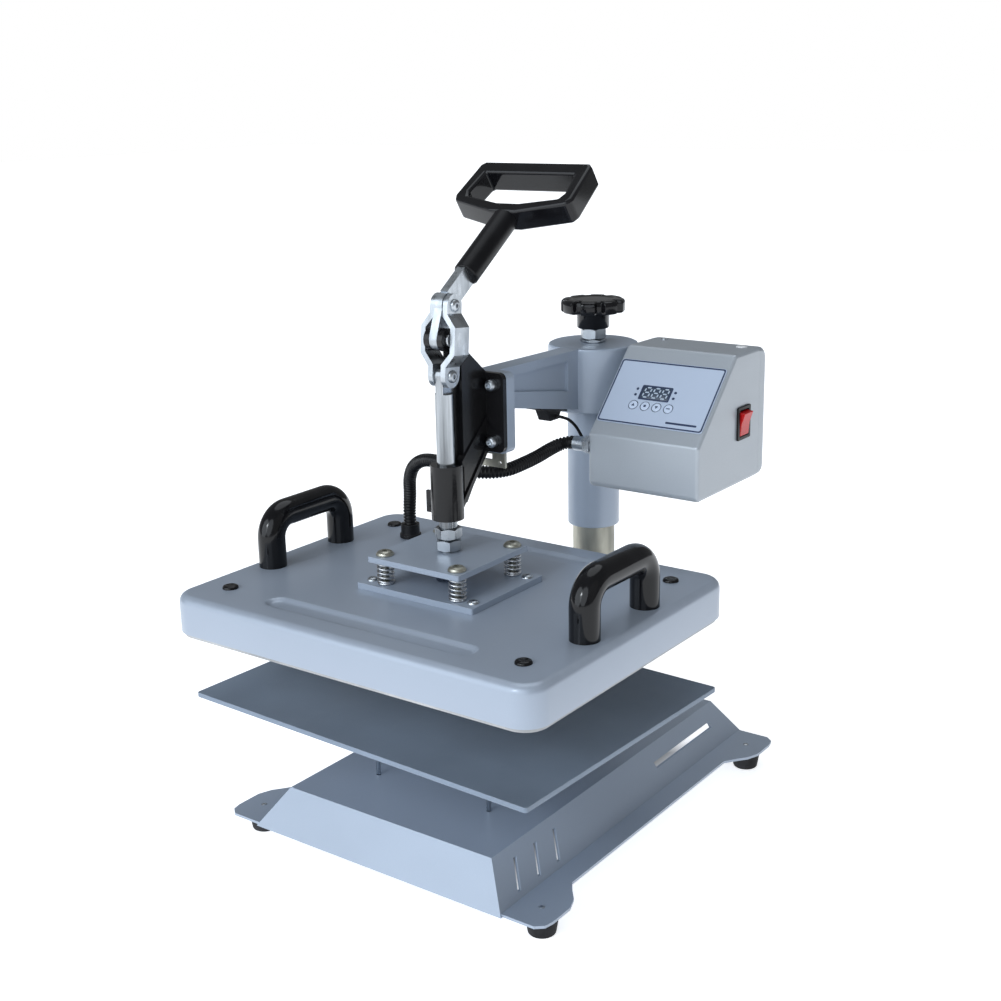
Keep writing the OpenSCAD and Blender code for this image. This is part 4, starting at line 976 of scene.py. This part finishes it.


# How far a floor point lies outside the press's footprint: it places a painted shadow, with the floor dim and dark
# under the base
def footprintGap(finish, p):
    coords = addNode(finish, "ShaderNodeTexCoord")
    parts = addNode(finish, "ShaderNodeSeparateXYZ")
    link(finish, coords.outputs["Object"], parts.inputs[0])
    gaps = []
    for axis, middle, half in (("X", 0.0, p["halfX"]), ("Y", p["middleY"], p["halfY"])):
        fromMiddle = addNode(finish, "ShaderNodeMath", operation="SUBTRACT")
        link(finish, parts.outputs[axis], fromMiddle.inputs[0])
        fromMiddle.inputs[1].default_value = middle
        away = addNode(finish, "ShaderNodeMath", operation="ABSOLUTE")
        link(finish, fromMiddle.outputs[0], away.inputs[0])
        gap = addNode(finish, "ShaderNodeMath", operation="SUBTRACT")
        link(finish, away.outputs[0], gap.inputs[0])
        gap.inputs[1].default_value = half
        gaps.append(gap.outputs[0])
    most = addNode(finish, "ShaderNodeMath", operation="MAXIMUM")
    link(finish, gaps[0], most.inputs[0])
    link(finish, gaps[1], most.inputs[1])
    return most.outputs[0]


# Painted shadow: the floor's glow and colour fall to dark grey under the press's footprint, with a soft edge around it
gap = footprintGap(floorFinish, floorSettings)
glow = spread(floorFinish, gap, 0.0, floorSettings["fade"], 0.0, floorSettings["lift"])
shade = tint(floorFinish, spread(floorFinish, gap, 0.0, floorSettings["fade"], 0.0, 1.0),
             floorSettings["under"], floorSettings["color"])
link(floorFinish, shade, floorShader.inputs["Base Color"])
link(floorFinish, glow, floorShader.inputs["Emission Strength"])
relief(floorFinish, floorShader, objectNoise(floorFinish, 3, 2.0), 0.0002, 0.2)
floorMesh.materials.append(floorFinish)

# From is the side each soft light comes from; spread is how wide it looks, in degrees.
lampSettings = {
    "frontLeft": {"from": (-0.5, -1.0, 0.4), "strength": 1.25, "spread": 50, "color": (0.86, 0.93, 1.0)},
    "frontRight": {"from": (0.3, -1.0, 0.5), "strength": 0.98, "spread": 50, "color": (0.86, 0.93, 1.0)},
    "window": {"from": (-0.12, -1.0, 0.6), "strength": 0.4, "spread": 8, "color": (0.9, 0.95, 1.0)},
    "rightFill": {"from": (1.0, -0.25, 0.5), "strength": 0.06, "spread": 50, "color": (1.0, 0.99, 0.96)},
    "topSoft": {"from": (-0.1, 0.3, 1.0), "strength": 0.75, "spread": 50, "color": (0.9, 0.95, 1.0)},
}
for name, lamp in lampSettings.items():
    data = bpy.data.lights.new(name, "SUN")
    data.energy, data.angle, data.color = lamp["strength"], math.radians(lamp["spread"]), lamp["color"]
    light = bpy.data.objects.new(name, data)
    light.location = Vector(lamp["from"]) * 3
    light.rotation_euler = Vector(lamp["from"]).to_track_quat("Z", "Y").to_euler()
    bpy.context.scene.collection.objects.link(light)

world = bpy.data.worlds.new("studio")
bpy.context.scene.world = world
world.use_nodes = True
worldNodes = world.node_tree.nodes
worldNodes.clear()
seen = worldNodes.new("ShaderNodeBackground")
seen.inputs["Color"].default_value = (1, 1, 1, 1)
seen.inputs["Strength"].default_value = 1.0
ambient = worldNodes.new("ShaderNodeBackground")
ambient.inputs["Color"].default_value = (0.95, 0.975, 1.0, 1)
ambient.inputs["Strength"].default_value = 0.2
rays = worldNodes.new("ShaderNodeLightPath")
choose = worldNodes.new("ShaderNodeMixShader")
worldOut = worldNodes.new("ShaderNodeOutputWorld")
world.node_tree.links.new(rays.outputs["Is Camera Ray"], choose.inputs["Fac"])
world.node_tree.links.new(ambient.outputs[0], choose.inputs[1])
world.node_tree.links.new(seen.outputs[0], choose.inputs[2])
world.node_tree.links.new(choose.outputs[0], worldOut.inputs["Surface"])
bpy.context.scene.view_settings.view_transform = "Standard"

shot = {"azimuth": 36.29, "elevation": 16.01, "roll": -1.19, "place": (0.7660, -1.0396, 0.6767), "lens": 52.4}
a, e, r = (math.radians(shot[k]) for k in ("azimuth", "elevation", "roll"))
back = Vector((math.sin(a) * math.cos(e), -math.cos(a) * math.cos(e), math.sin(e)))
right = (-back).cross(Vector((0, 0, 1))).normalized()
up = right.cross(-back)
rolledRight = right * math.cos(r) + up * math.sin(r)
rolledUp = up * math.cos(r) - right * math.sin(r)
cameraData = bpy.data.cameras.new("viewCamera")
cameraData.lens, cameraData.sensor_width = shot["lens"], 36.0
cameraData.clip_start, cameraData.clip_end = 0.05, 60
camera = bpy.data.objects.new("viewCamera", cameraData)
camera.matrix_world = Matrix((
    (rolledRight.x, rolledUp.x, back.x, shot["place"][0]),
    (rolledRight.y, rolledUp.y, back.y, shot["place"][1]),
    (rolledRight.z, rolledUp.z, back.z, shot["place"][2]),
    (0, 0, 0, 1)))
bpy.context.scene.collection.objects.link(camera)
bpy.context.scene.camera = camera
print("stage ready")
